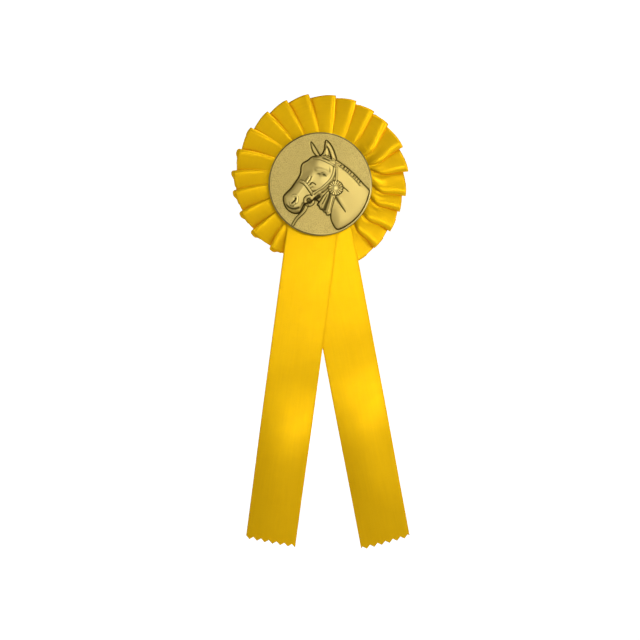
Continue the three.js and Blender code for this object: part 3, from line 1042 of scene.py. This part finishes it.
@dataclass
class HorseHead:
    """A bridled horse's head and neck in profile, facing left, with a small rosette on the bridle."""

    face: Points = (
        (-0.6, 13.5), (-3.9, 12.9), (-5.9, 11.3), (-8.4, 9.8), (-9.2, 8.0), (-9.4, 5.6), (-10.4, 3.0),
        (-12.2, 0.4), (-14.2, -2.4), (-16.8, -4.9), (-17.7, -6.7), (-17.4, -9.4), (-16.2, -11.8),
        (-14.3, -13.5), (-11.8, -14.2), (-10.0, -13.6), (-9.0, -12.0), (-8.0, -10.0), (-6.4, -9.2),
        (-4.4, -8.6), (-2.4, -6.6), (0.6, -4.4), (3.6, -2.0), (5.8, 0.8), (7.4, 4.6), (8.0, 8.6),
        (7.4, 11.4), (4.0, 13.4), (1.8, 13.6),
    )
    neck: Points = (
        (-0.6, 13.0), (3.0, 13.4), (7.8, 11.2), (10.4, 9.5), (13.2, 7.4), (17.0, 3.9), (20.5, 0.1),
        (23.4, -3.1), (22.9, -6.4), (21.5, -10.3), (18.6, -14.9), (15.0, -18.4), (11.3, -20.8),
        (8.9, -21.8), (7.6, -21.5), (6.4, -19.9), (5.3, -17.4), (4.9, -14.6), (3.2, -11.6), (0.4, -9.2),
        (-2.6, -6.6), (-5.0, 0.0), (-4.0, 8.0),
    )
    near_ear: Points = (
        (0.2, 13.4), (1.2, 14.7), (2.1, 16.6), (2.3, 18.8), (2.75, 20.9), (4.4, 19.6), (5.8, 17.5),
        (6.9, 14.6), (7.7, 11.6), (5.4, 11.2), (2.4, 12.2),
    )
    hollow_ear: Points = (
        (3.3, 13.0), (2.9, 15.2), (3.2, 18.0), (4.2, 17.0), (5.0, 15.0), (5.6, 12.6), (4.6, 12.2),
    )
    far_ear: Points = (
        (-4.4, 20.1), (-4.3, 18.2), (-3.7, 16.1), (-2.6, 14.4), (-1.4, 13.4), (-0.4, 13.8), (-1.6, 16.0),
        (-2.9, 18.2),
    )

    def press(self, relief: Relief) -> None:
        """Adds the whole head to the relief, from the biggest shapes to the finest.

        Args:
            relief: The relief that it is pressed into.
        """
        outlines = {"face": self.face, "neck": self.neck, "near_ear": self.near_ear, "far_ear": self.far_ear}
        depth = {name: relief.inside(smooth_line(line, closed=True)) for name, line in outlines.items()}
        whole = np.maximum.reduce(list(depth.values()))
        self._masses(relief, depth, whole)
        self._face(relief, depth["face"])
        self._ear(relief, depth["near_ear"])
        self._neck(relief, depth["neck"])
        self._bridle(relief)
        self._small_rosette(relief)

    def _masses(self, relief: Relief, depth: Mapping[str, Array], whole: Array) -> None:
        """The silhouette's step, then the higher of two domes: the neck's and the head's.

        Args:
            relief: The relief that it is pressed into.
            depth: How deep each place is inside each outline.
            whole: How deep it is inside the silhouette.
        """
        relief.mound(whole, 0.34, 0.4)
        neck = 0.5 * dome(depth["neck"] / 6.0)
        head = (0.34 + 0.72 * dome(depth["face"] / 6.5)) * smoothstep(depth["face"] / 0.5)
        relief.height += np.maximum(neck, head)
        relief.mound(depth["far_ear"], -0.1, 0.3)
        # Painted shade along a fine pressed line round the whole silhouette.
        relief.ditch(whole, 0.2, 0.3, 1.0)
        # Less painted shade at the upper right, the side that faces the light.
        relief.painted_shade *= 1 - 0.45 * smoothstep((relief.x - 8.5) / 1.5) * smoothstep((relief.z + 2.5) / 1.5)
        # Painted shade along the jaw's edge.
        within = smoothstep(depth["neck"] / 1.0)
        jaw = bell((depth["face"] + 0.2) / 0.36) * within * smoothstep((3.0 - relief.z) / 3.0)
        relief.height -= 0.16 * jaw
        relief.darken(0.45 * jaw)

    def _face(self, relief: Relief, depth: Array) -> None:
        """Cheek, nose, eye, nostril, lips and the bones between them.

        Args:
            relief: The relief that it is pressed into.
            depth: How deep each place is inside the face.
        """
        within = smoothstep(depth / 0.8)
        # The forehead falls away from a ridge that runs from the poll past the eye to the cheekbone.
        ridge = relief.x - np.interp(relief.z, (0.0, 4.0, 7.0, 13.0), (-5.4, -3.2, -1.0, 0.6))
        fall = smoothstep(-ridge / 5.5) * smoothstep((relief.z + 0.5) / 2.5) * within
        relief.height -= 0.36 * fall
        # Painted shade on the forehead's slope, which turns away from the light.
        relief.darken(0.24 * smoothstep((-ridge - 0.6) / 2.5) * within * (relief.z > 1.0))
        relief.bump(2.4, 0.2, 4.2, 5.2, -28, 0.34)  # the cheek
        relief.bump(-9.2, -1.6, 2.4, 6.2, -37, 0.24)  # the nose
        relief.bump(-13.6, -8.0, 3.0, 3.6, -20, 0.3)  # the muzzle
        relief.bump(-5.6, -4.6, 1.6, 3.0, -40, -0.16)  # the hollow before the jaw
        relief.stroke([(-1.6, 6.9), (0.4, 6.8), (2.2, 6.3), (3.7, 5.0)], 0.8, 0.2, 0.0, 1.0)
        relief.bump(0.9, 4.0, 1.0, 0.8, 0, 0.3)
        # Spots round the eye and brow, pressed in a little and darkened with painted shade.
        for x, z, across, tall, turn, dark in (
            (1.75, 4.35, 0.72, 0.5, -25, 1.0), (-0.8, 4.8, 0.9, 0.36, -10, 0.75),
            (2.6, 3.7, 0.5, 0.25, -30, 0.6), (0.9, 5.3, 0.9, 0.22, 10, 0.45),
            (4.6, 6.6, 0.25, 1.4, 8, 0.55), (-2.2, 6.2, 1.2, 1.6, 30, 0.35),
        ):
            spot = relief.bump(x, z, across, tall, turn, -0.22 * dark)
            relief.darken(dark * np.sqrt(spot))
        # Bones, nostril and lips, with painted shade in the pressed lines and along the raised ones.
        relief.strokes(
            ([(-5.4, 3.3), (-5.9, 2.2), (-6.6, 0.9)], (0.35, 0.6), 0.26),
            ([(-4.3, 3.4), (-5.0, 1.8), (-6.0, 0.3)], (0.3, 0.2), -0.2, 0.8, 1.2),
            ([(-5.0, -0.4), (-4.3, 0.3), (-3.4, 0.35), (-2.3, -0.4)], (0.34, 0.24), -0.24, 0.95, 1.2),
            ([(-4.9, -1.4), (-4.0, -0.8), (-2.9, -1.2)], 0.5, 0.18),
            ([(-4.9, -3.0), (-3.6, -3.4), (-2.4, -3.2)], 0.3, -0.1, 0.3, 1.2),
            ([(-7.6, -0.9), (-9.6, -3.6), (-11.4, -6.0)], (0.9, 0.5), 0.12, 0.1, 1.0),
            ([(-13.2, -5.9), (-12.0, -5.8), (-11.2, -6.9), (-11.5, -9.0)], 0.5, 0.26, 0.2),
            ([(-11.9, -7.2), (-12.5, -8.3), (-13.9, -9.5)], (0.5, 0.24), -0.4, 1.0),
            ([(-12.2, -8.9), (-12.9, -9.8), (-13.9, -10.6)], 0.45, 0.22, 0.25),
            ([(-16.6, -10.2), (-14.6, -11.7), (-12.4, -12.1), (-10.4, -11.6)], 0.6, -0.22, 0.9, 1.5, within),
            ([(-15.1, -8.7), (-14.5, -10.4), (-13.0, -10.9)], (0.2, 0.4), -0.1, 0.55, 1.5),
        )
        # Painted shade along the muzzle's lower left edge and under the chin.
        muzzle = bell(depth / 1.3) * within * smoothstep((-relief.x - 10.0) / 3.0)
        relief.darken(0.5 * muzzle)
        chin = within * smoothstep((-relief.z - 11.2) / 1.4) * smoothstep((-relief.x - 9.6) / 1.0)
        relief.darken(0.5 * chin)
        # Pressed lines at the muzzle's front and under the jaw, with painted shade in them.
        relief.strokes(
            ([(-16.9, -7.0), (-17.0, -9.0), (-16.2, -10.6)], 0.6, -0.05, 0.4, 1.2, within),
            ([(-9.6, -12.6), (-9.2, -10.9), (-8.6, -9.4)], 0.5, -0.2, 0.75, 1.5, within),
        )

    def _ear(self, relief: Relief, depth: Array) -> None:
        """The near ear: a rounded shell with a hollow in it.

        Args:
            relief: The relief that it is pressed into.
            depth: How deep each place is inside the ear.
        """
        relief.mound(depth, 0.2, 0.35, 0.22, 1.6)
        hollow = relief.inside(smooth_line(self.hollow_ear, closed=True))
        relief.height -= 0.45 * dome(hollow / 0.9)
        # Painted shade inside the ear's hollow and in the pressed lines round it.
        relief.darken(0.25 * smoothstep(hollow / 0.35))
        relief.strokes(
            ([(3.1, 18.2), (4.1, 16.3), (4.9, 13.8), (5.3, 12.0)], (0.24, 0.5), -0.25, 1.0),
            ([(3.0, 12.9), (4.2, 12.3), (5.4, 11.9)], 0.3, -0.15, 0.8),
            ([(3.2, 13.6), (3.2, 15.2), (3.2, 16.8)], 0.5, 0.3),
        )

    def _neck(self, relief: Relief, depth: Array) -> None:
        """Braided knots along the crest, the folds of the shoulder, and the windpipe's edge.

        Args:
            relief: The relief that it is pressed into.
            depth: How deep each place is inside the neck.
        """
        crest = smooth_line([(8.9, 9.7), (12.6, 7.0), (16.4, 3.7), (20.3, -0.2)], 8)
        length = np.linalg.norm(np.diff(crest, axis=0), axis=1).sum()
        away, along = relief.distance(crest)
        knots = np.abs(np.sin(np.pi * 10 * along + 0.5 * np.sin(17 * along)))
        lane = bell(away / 0.72) * smoothstep(along * length) * smoothstep((1 - along) * length)
        relief.height += 0.3 * lane * (knots - 0.45)
        # Painted shade between the knots.
        relief.darken(lane * smoothstep((0.66 - knots) / 0.3))
        # Lines along the crest and the shoulder, with painted shade in the pressed ones.
        relief.strokes(
            ([(8.6, 8.8), (12.2, 6.1), (15.8, 2.9), (19.2, -1.0)], 0.2, -0.1, 0.3),
            ([(7.7, -6.8), (8.9, -8.9), (10.5, -11.3), (12.1, -13.6)], (0.6, 0.16), -0.3, 0.75, 1.2),
            ([(9.3, -7.2), (10.8, -9.6), (12.6, -12.4)], (1.0, 0.6), 0.05, 0.0, 1.0),
            ([(11.3, -1.9), (12.4, -2.7), (13.4, -3.6)], (0.36, 0.2), -0.18, 0.65, 1.2),
        )
        relief.bump(15.0, -5.5, 4.6, 6.4, 20, 0.1)
        relief.bump(10.0, -17.0, 2.6, 4.6, 12, 0.12)
        # Painted shade low down along the throat.
        throat = smoothstep((relief.x - 5.2) / 2.0) * smoothstep((10.2 - relief.x) / 3.5)
        relief.darken(0.22 * throat * (depth > 0) * smoothstep((-relief.z - 9.0) / 4.0))

    def _bridle(self, relief: Relief) -> None:
        """Straps, the bit's ring and the rein, each standing a little above what it lies on.

        Args:
            relief: The relief that it is pressed into.
        """
        strap = 0.2
        # Painted shadow along the straps' margins, and painted shade in the pressed lines.
        relief.strokes(
            ([(-2.9, 12.0), (-0.6, 12.0), (1.8, 11.3), (4.5, 10.0), (7.1, 8.4)], 0.36, strap, 0.5),
            ([(7.9, 9.6), (7.9, 7.0), (7.9, 4.0), (7.7, 1.4)], 0.36, strap, 0.6),
            ([(7.0, 8.4), (6.6, 6.0), (5.8, 3.4), (4.0, 0.8), (0.9, -2.0), (-1.8, -3.7), (-3.4, -4.6)],
             0.42, strap, 0.65),
            ([(-9.9, 1.3), (-8.0, 0.5), (-6.2, -1.4), (-4.5, -3.8), (-3.4, -5.7)], 0.5, 0.26, 0.3),
            ([(-9.7, 0.5), (-8.2, -0.3), (-6.6, -2.2), (-5.1, -4.4), (-4.1, -5.9)], 0.22, -0.16, 1.0),
        )
        relief.bump(7.9, 9.6, 0.9, 0.9, 0, 0.26)
        away = np.hypot(relief.x + 5.4, relief.z + 8.2)  # from the middle of the bit's ring
        inner = smoothstep((1.45 - away) / 0.3)
        relief.height += 0.42 * np.exp(-(((away - 1.95) / 0.48) ** 4)) - 0.35 * inner
        # Painted shade inside the bit's ring, broken by a speckle, and a painted shadow round its outside.
        speckle = 0.5 + 0.5 * np.sin(5.0 * relief.x + 2.0) * np.sin(5.5 * relief.z)
        dark = np.maximum(bell((away - 2.75) / 0.26), inner * (0.55 + 0.45 * speckle))
        relief.painted_shade = np.maximum(relief.painted_shade * smoothstep((away - 1.4) / 0.2), dark)
        relief.stroke([(-2.2, -7.6), (-1.4, -6.9), (-0.4, -6.2)], 0.75, -0.25, 1.0, 2.0)
        bar = [(-4.3, -7.6), (-2.4, -6.2), (-1.7, -5.7), (-2.0, -5.1), (-4.6, -6.6)]
        depth = relief.inside(smooth_line(bar, 4, closed=True))
        relief.lay(smoothstep((depth + 0.12) / 0.25), 1.35)
        relief.bump(-0.4, -4.5, 0.75, 0.6, 30, 0.3)
        relief.bump(0.7, -5.0, 0.5, 0.5, 0, 0.25)
        # The rein throws a painted shadow along its margins, and its middle line holds painted shade.
        rein = [(-6.6, -10.4), (-7.4, -12.4), (-8.8, -14.2), (-10.9, -16.2), (-12.2, -18.0), (-13.3, -19.9)]
        relief.stroke(rein, (0.62, 0.42), 0.3, 1.0)
        relief.stroke(rein, 0.12, -0.12, 0.5)

    def _small_rosette(self, relief: Relief) -> None:
        """The rosette on the cheekpiece: its tails, then petals round a button.

        Args:
            relief: The relief that it is pressed into.
        """
        outline = [
            (3.6, -3.6), (1.0, -6.6), (-0.4, -8.8), (-1.4, -10.2), (-0.5, -10.5), (0.1, -12.1), (1.0, -12.1),
            (1.9, -13.5), (2.7, -13.6), (3.3, -15.1), (4.9, -14.7), (5.5, -11.4), (6.4, -8.4), (7.4, -5.8),
        ]
        depth = relief.inside(np.asarray(outline, float))
        laid = smoothstep((depth + 0.1) / 0.3)
        relief.lay(laid, 1.05)
        # Painted shade along a pressed line round the tails.
        relief.ditch(depth, 0.15, 0.24, 0.9)
        stripes = (
            ([(4.7, -4.2), (3.9, -7.2), (2.9, -10.0), (2.1, -12.2)], (0.7, 1.0), -0.4, 1.0),
            ([(3.2, -5.4), (2.0, -7.8), (1.0, -9.6)], (0.3, 0.2), -0.2, 0.7),
            ([(1.9, -6.4), (0.8, -8.4), (-0.2, -10.0)], 0.36, 0.2, 0.35),
            ([(2.6, -7.6), (1.6, -9.8), (0.9, -11.4)], 0.36, 0.2, 0.35),
            ([(5.6, -6.2), (4.8, -9.6), (3.8, -13.4)], 0.42, 0.22, 0.4),
            ([(6.4, -6.6), (5.6, -9.4), (4.8, -13.2)], (0.2, 0.3), -0.14, 0.55),
        )
        # The stripes carry painted shade in their pressed lines and along their raised ones.
        for points, half, raised, painted_shade in stripes:
            relief.stroke(points, half, raised, painted_shade, 1.4, laid)
        right, up = relief.x - 7.4, relief.z + 2.1  # from the middle of the button
        away, angle = np.hypot(right, up), np.arctan2(up, right)
        petals = np.abs(np.cos(8 * angle))  # sixteen of them
        outer = 3.25 + 0.3 * petals
        disc = smoothstep((outer - away) / 0.35)
        frill = disc * smoothstep((away - 0.9) / 0.6)
        relief.height = mix(relief.height, 1.2 + 0.05 * away, disc)
        relief.height += 0.5 * frill * (petals - 0.5) + 0.25 * smoothstep((1.5 - away) / 0.9)
        # Painted shade in the gaps between the petals and a painted shadow round the disc, both heavier on
        # the lower right side, and a painted highlight on the petals.
        dark = frill * smoothstep((0.6 - petals) / 0.4) * smoothstep((away - 1.2) / 0.8)
        shaded = smoothstep((np.cos(angle + 0.7) + 0.3) / 0.8)  # the lower right side
        dark = dark * (0.25 + 0.75 * shaded)
        rim = bell((away - outer - 0.12) / 0.3) * (0.45 + 0.55 * shaded)
        relief.painted_highlight = disc * smoothstep((petals - 0.25) / 0.5) * 1.3
        relief.painted_shade = np.maximum(relief.painted_shade * (1 - 0.9 * disc), np.maximum(dark, rim))


@dataclass
class Medal:
    """The embossed foil: a disc with the relief, a soft shoulder and an edge turned down round the core."""

    radius: float = 25.0
    face: float = 12.1  # depth of the field
    skirt: float = 10.8  # depth of the turned-down edge's rear
    back: float = 11.7  # depth of the foil's rear
    camber: float = 0.35  # how far the middle of the field stands out
    shoulder: float = 0.45
    wall: float = 0.45
    rim: float = 24.4  # radius of the raised line round the field
    rim_rise: tuple[float, float] = (0.05, 0.13)  # its height, and how much more at the lower right
    size: int = 290  # points across the face
    body: str = "rosette"

    def build(self, materials: Materials) -> bpy.types.Object:
        """Maps a square grid on to the disc, raises the relief and turns the edge down.

        The square's point (u, v), each from -1 to 1, goes to (u sqrt(1 - v^2 / 2), v sqrt(1 - u^2 / 2)), so
        the grid's outer ring is the disc's rim. That ring then goes on over the shoulder, down the skirt and
        in behind it to a point at the centre.

        Args:
            materials: The material of each finish.

        Returns:
            The embossed foil.
        """
        line = np.linspace(-1, 1, self.size)
        u, v = np.meshgrid(line, line, indexing="ij")
        flat = self.radius - self.shoulder
        x, z = u * np.sqrt(1 - v * v / 2) * flat, v * np.sqrt(1 - u * u / 2) * flat
        height, marks = self._embossed(x, z)
        front = np.stack([x, -(self.face + height), z], axis=-1).reshape(-1, 3)
        border = self._border()
        rings, strips, painted_shade = self._turned_edge(front[border], border, len(front))
        points = np.concatenate([front, *rings, [[0.0, -self.back, 0.0]]])
        plain = np.zeros(len(painted_shade))
        # Behind the face there is only the turned edge's painted shade.
        behind = {"hollow": painted_shade, "crown": plain, "field": plain}
        marks = {name: np.concatenate([marks[name].ravel(), behind[name]]) for name in marks}
        faces = np.concatenate([grid_faces(self.size, self.size), *strips])
        made = make_object("medal_foil", points, faces, attributes=marks)
        dress(made, materials[Finish.FOIL])
        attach(made, self.body)
        stand_for(made, "medal_foil", "medal_face")
        return made

    def _embossed(self, x: Array, z: Array) -> tuple[Array, dict[str, Array]]:
        """The face's height over the field, its painted shade and painted highlight, and how plain each place
        is.

        Args:
            x: Each place to the right of the centre.
            z: Each place above the centre.

        Returns:
            The height in millimetres, and the marks by attribute name, from 0 to about 1.
        """
        relief = Relief(x, z)
        HorseHead().press(relief)
        away = np.hypot(x, z)
        body = relief.height.copy()
        # The raised rim is higher at the lower right, under the neck's cut edge; there it also carries a
        # painted highlight and loses its painted shade.
        lower_right = smoothstep(((x - z) / (math.sqrt(2) * away + 1e-6) - 0.45) / 0.4)
        rim_line = bell((away - self.rim) / 0.2)
        relief.height += (self.rim_rise[0] + self.rim_rise[1] * lower_right) * rim_line
        flat = self.radius - self.shoulder
        fade = smoothstep((flat - away) / 0.5)
        height = relief.height * fade + self.camber * (1 - (away / flat) ** 2)
        # Painted shade: the relief's own, more in the hollows, and a painted shadow line round the rim.
        painted_shade = np.maximum(relief.painted_shade * fade, self._painted_hollow_shade(height))
        painted_shade = painted_shade * (1 - 0.9 * lower_right * rim_line)
        painted_shade = np.maximum(painted_shade, 0.9 * smoothstep((away - 24.25 - 0.25 * lower_right) / 0.2))
        # Painted highlight on the high places, on the small rosette's petals and on the rim at the lower
        # right.
        crown = (smoothstep((body - 0.9) / 1.0) + relief.painted_highlight) * fade + 1.6 * lower_right * rim_line
        field = smoothstep((0.25 - np.abs(body)) / 0.2) * fade
        return height, {"hollow": painted_shade, "crown": crown, "field": field}

    def _turned_edge(self, rim: Array, border: Array, count: int) -> tuple[list[Array], list[Array], Array]:
        """The rings behind the face's rim, and the faces that join them.

        Args:
            rim: The rim's points.
            border: Their numbers.
            count: How many points the face has.

        Returns:
            The rings' points, the faces, the last of which close the centre, and the painted shade of each
            point.
        """
        around = rim / np.linalg.norm(rim[:, [0, 2]], axis=1, keepdims=True)
        inside = self.radius - self.wall
        # The third number of each ring is its painted shade, darkest down the skirt.
        turned = (  # radius, depth and darkness of each ring
            (self.radius - 0.16, self.face - 0.05, 0.35), (self.radius - 0.03, self.face - 0.18, 0.5),
            (self.radius, self.face - 0.42, 0.75), (self.radius, self.skirt, 0.9), (inside, self.skirt, 0.9),
            (inside, self.back, 0.5), (0.5 * self.radius, self.back, 0.5),
        )
        step = len(border)
        rings, strips, before = [], [], border
        for k, (radius, depth, _) in enumerate(turned):
            across, up = around[:, 0] * radius, around[:, 2] * radius
            rings.append(np.stack([across, np.full(step, -depth), up], axis=1))
            after = count + k * step + np.arange(step)
            strips.append(np.stack([before, np.roll(before, -1), np.roll(after, -1), after], axis=1))
            before = after
        centre = np.full(step // 2, count + len(turned) * step)
        corners = [np.roll(before, -turn)[0::2] for turn in range(3)]
        strips.append(np.stack([*corners, centre], axis=1))
        return rings, strips, np.append(np.repeat([dark for *_, dark in turned], step), 0.5)

    @staticmethod
    def _painted_hollow_shade(height: Array, passes: int = 14, deep: float = 0.07) -> Array:
        """Painted shade in the hollows: how far each place lies below its surroundings, from 0 to 1.

        The surroundings are the height after a number of passes that each mix a place with its neighbours
        by a quarter, a half and a quarter along both of the grid's directions.

        Args:
            height: The height at each place.
            passes: How many passes.
            deep: How far below its surroundings a place is fully hollow.

        Returns:
            How hollow each place is.
        """
        around = height
        for _ in range(passes):
            padded = np.pad(around, 1, mode="edge")
            around = 0.25 * padded[:-2, 1:-1] + 0.5 * padded[1:-1, 1:-1] + 0.25 * padded[2:, 1:-1]
            padded = np.pad(around, 1, mode="edge")
            around = 0.25 * padded[1:-1, :-2] + 0.5 * padded[1:-1, 1:-1] + 0.25 * padded[1:-1, 2:]
        return 0.8 * smoothstep((around - height) / deep - 0.1)

    def _border(self) -> Array:
        """The numbers of the grid's outer points, in order round the rim as the faces turn.

        Returns:
            One number for each point.
        """
        n = self.size
        number = np.arange(n * n).reshape(n, n)
        return np.concatenate([number[0, :-1], number[:-1, -1], number[-1, :0:-1], number[:0:-1, 0]])


# ---------------------------------------------------------------------------------------------------------
# Backing, bar pin and studio
# ---------------------------------------------------------------------------------------------------------


@dataclass(frozen=True)
class Fitting:
    """One piece behind the medal or on the back, and how it is finished."""

    node: str
    finish: Finish
    slot: str
    bevel: float  # width of its rounded edges
    body: str = "rosette"


@dataclass
class Backing:
    """Cards, disc, pad, glue, stitch, staples and bar pin: the CAD's shapes with their edges rounded."""

    materials: Materials
    corner: float = 38.0  # degrees between two faces that make an edge
    fittings: tuple[Fitting, ...] = (
        Fitting("medal_core", Finish.DISC, "medal_disc", 0.12),
        Fitting("medal_pad", Finish.FOAM, "foam_pad", 0.12),
        Fitting("front_card", Finish.CARD, "card", 0.12),
        Fitting("core_card", Finish.CARD, "card", 0.12),
        Fitting("back_cover", Finish.CARD, "card", 0.16),
        Fitting("centre_glue", Finish.GLUE, "glue", 0.6),
        Fitting("rear_glue_ring", Finish.GLUE, "glue", 0.25),
        Fitting("gather_stitch", Finish.THREAD, "thread", 0.0),
        Fitting("staple_left", Finish.STEEL, "staple_wire", 0.08),
        Fitting("staple_right", Finish.STEEL, "staple_wire", 0.08),
        Fitting("pin_bar", Finish.STEEL, "pin_steel", 0.1),
        Fitting("bar_rivet_left", Finish.STEEL, "pin_steel", 0.24),
        Fitting("bar_rivet_right", Finish.STEEL, "pin_steel", 0.24),
        Fitting("hinge_pin", Finish.STEEL, "pin_steel", 0.14),
        Fitting("needle", Finish.STEEL, "pin_steel", 0.06, "needle"),
        Fitting("catch_roller", Finish.STEEL, "pin_steel", 0.1, "roller"),
    )

    def build(self) -> list[bpy.types.Object]:
        """Makes each fitting."""
        return [self._fitting(fitting) for fitting in self.fittings]

    def _fitting(self, fitting: Fitting) -> bpy.types.Object:
        """A merged copy of the node's mesh, smooth except at its edges, which a modifier rounds.

        Args:
            fitting: Which node, and its finish.

        Returns:
            The new object, which stands for the node.
        """
        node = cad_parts[fitting.node]
        mesh = node.data.copy()
        mesh.name = f"{fitting.node}_smooth"
        mesh.transform(node.matrix_world)
        shape = bmesh.new()
        shape.from_mesh(mesh)
        bmesh.ops.remove_doubles(shape, verts=shape.verts, dist=1e-6)
        flat = {"angle_limit": math.radians(0.6), "verts": shape.verts, "edges": shape.edges}
        bmesh.ops.dissolve_limit(shape, use_dissolve_boundaries=False, **flat)
        for face in shape.faces:
            face.smooth = True
        for edge in shape.edges:
            edge.smooth = len(edge.link_faces) == 2 and edge.calc_face_angle() < math.radians(self.corner)
        shape.to_mesh(mesh)
        shape.free()
        made = bpy.data.objects.new(mesh.name, mesh)
        bpy.context.scene.collection.objects.link(made)
        if fitting.bevel > 0:
            rounding = made.modifiers.new("rounding", "BEVEL")
            rounding.width = fitting.bevel * MM
            rounding.segments = 3
            rounding.limit_method = "ANGLE"
            rounding.angle_limit = math.radians(self.corner)
            rounding.harden_normals = True
        dress(made, self.materials[fitting.finish])
        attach(made, fitting.body)
        stand_for(made, fitting.slot, fitting.node)
        return made


@dataclass(frozen=True)
class SoftBox:
    """A square light with a grid, which keeps its light within an angle of its axis. Sizes are in metres."""

    name: str
    at: Place
    power: float  # in watts
    target: Place
    spread: float  # the whole angle of its beam, in degrees
    size: float = 0.25  # its side

    def build(self) -> None:
        """Makes the light, aimed at its target."""
        light = bpy.data.lights.new(self.name, "AREA")
        light.size = self.size
        light.energy = self.power
        light.spread = math.radians(self.spread)
        made = bpy.data.objects.new(self.name, light)
        made.location = self.at
        aim = Vector(self.target) - Vector(self.at)
        made.rotation_euler = aim.to_track_quat("-Z", "Y").to_euler()
        bpy.context.scene.collection.objects.link(made)


@dataclass
class Studio:
    """Floor, lights, surroundings and camera. Sizes are in metres."""

    lights: tuple[SoftBox, ...] = (
        SoftBox("key", (0.22, -0.24, 0.60), 0.15, (0.012, 0.0, -0.03), 50.0),
        SoftBox("side", (0.62, -0.35, 0.02), 0.13, (0.012, 0.0, -0.02), 40.0),
        SoftBox("fill", (-0.55, -0.50, 0.20), 0.022, (-0.02, 0.0, 0.01), 22.0),
        SoftBox("front", (0.14, -0.80, 0.06), 0.051, (0.016, 0.0, -0.066), 23.0),
        SoftBox("back", (-0.2, 0.8, 0.4), 0.6, (0.0, 0.0, -0.04), 120.0, 0.5),
    )
    floor_height: float = -0.24
    sweep: float = 1.5  # radius of the floor's turn upwards
    sweep_start: float = 2.0  # how far behind the rosette it turns
    lens: float = 120.0  # in millimetres
    sensor: float = 36.0  # in millimetres
    view_width: float = 0.310
    centre: Place = (-0.00014, -0.0085, -0.0657)
    surroundings: float = 0.19  # strength of the light from all round

    def build(self) -> None:
        """Makes them all."""
        self._floor()
        self._world()
        for light in self.lights:
            light.build()
        self._camera()
        bpy.context.scene.view_settings.view_transform = "Standard"

    def _floor(self) -> None:
        """A pale sweep: level, then a quarter circle of radius R, y = start + R sin a and
        z = floor + R (1 - cos a), then straight up.
        """
        rows, columns = 61, 25
        side = np.linspace(-6, 6, columns)[None, :]
        run = np.linspace(-4, 6, rows)[:, None]
        curve = np.clip((run - self.sweep_start) / self.sweep, 0, None)
        angle = np.minimum(curve, np.pi / 2)
        y = np.minimum(run, self.sweep_start) + self.sweep * np.sin(angle)
        z = self.floor_height + self.sweep * (1 - np.cos(angle)) + self.sweep * (curve - angle)
        x, y, z = np.broadcast_arrays(side, y, z)
        points = np.stack([x, y, z], axis=-1).reshape(-1, 3) / MM
        made = make_object("floor", points, grid_faces(rows, columns)[:, ::-1])
        g = Graph("pale_floor")
        place = g.place()
        tone = g.noise(place, 3.0, 2.0)
        colour = g.blended(tone.held(0.3, 0.7), (0.93, 0.93, 0.93), (0.96, 0.96, 0.96))
        behind = g.part(place, "Y").held(-0.1, 0.3)
        around = (g.part(place, "X") ** 2 + g.part(place, "Y") ** 2).held(0.02, 0.8)
        # Painted light: the floor glows, more behind and round the rosette than in front, and lights the
        # rosette as well.
        glow = g.blended(behind + around * 0.7 + 0.12, (0.0, 0.0, 0.0), (0.75, 0.75, 0.75))
        dress(made, g.finish(Base_Color=colour, Roughness=0.8, Emission_Color=glow, Emission_Strength=1.0))

    def _world(self) -> None:
        """White where it is seen, and a softer grey for the light that it gives."""
        world = bpy.data.worlds.new("studio")
        world.use_nodes = True
        tree = world.node_tree
        tree.nodes.clear()
        path = tree.nodes.new("ShaderNodeLightPath")
        seen, felt = (tree.nodes.new("ShaderNodeBackground") for _ in range(2))
        for background in (seen, felt):
            background.inputs["Color"].default_value = (1.0, 1.0, 1.0, 1.0)
        felt.inputs["Strength"].default_value = self.surroundings
        choice = tree.nodes.new("ShaderNodeMixShader")
        output = tree.nodes.new("ShaderNodeOutputWorld")
        tree.links.new(path.outputs["Is Camera Ray"], choice.inputs[0])
        tree.links.new(felt.outputs[0], choice.inputs[1])
        tree.links.new(seen.outputs[0], choice.inputs[2])
        tree.links.new(choice.outputs[0], output.inputs[0])
        bpy.context.scene.world = world

    def _camera(self) -> None:
        """Level, looking along +Y, at the distance where the view is as wide as stated."""
        camera = bpy.data.cameras.new("camera")
        camera.lens = self.lens
        camera.sensor_width = self.sensor
        distance = self.view_width * self.lens / self.sensor
        made = bpy.data.objects.new("camera", camera)
        made.location = (self.centre[0], self.centre[1] - distance, self.centre[2])
        made.rotation_euler = (math.pi / 2, 0.0, 0.0)
        bpy.context.scene.collection.objects.link(made)
        bpy.context.scene.camera = made


def main() -> None:
    """Builds every piece in order and reports it."""
    logging.basicConfig(level=logging.INFO, format="%(name)s: %(message)s")
    Studio().build()
    materials = {finish: finish.value.material() for finish in Finish}
    tails = [
        Tail(Side.RIGHT, lean=10.75, root=3.9, depth=7.45, length=149.3, skew=-4.4, phase=1.1, bite=-0.25),
        Tail(Side.LEFT, lean=-7.7, root=-4.4, depth=7.95, length=147.6, skew=2.9, phase=0.2),
    ]
    pieces = [
        PleatedRing().build(materials),
        *(tail.build(materials) for tail in tails),
        Medal().build(materials),
        *Backing(materials).build(),
    ]
    for piece in pieces:
        log.info("%s: %d faces", piece.name, len(piece.data.polygons))


if __name__ == "__main__":
    main()
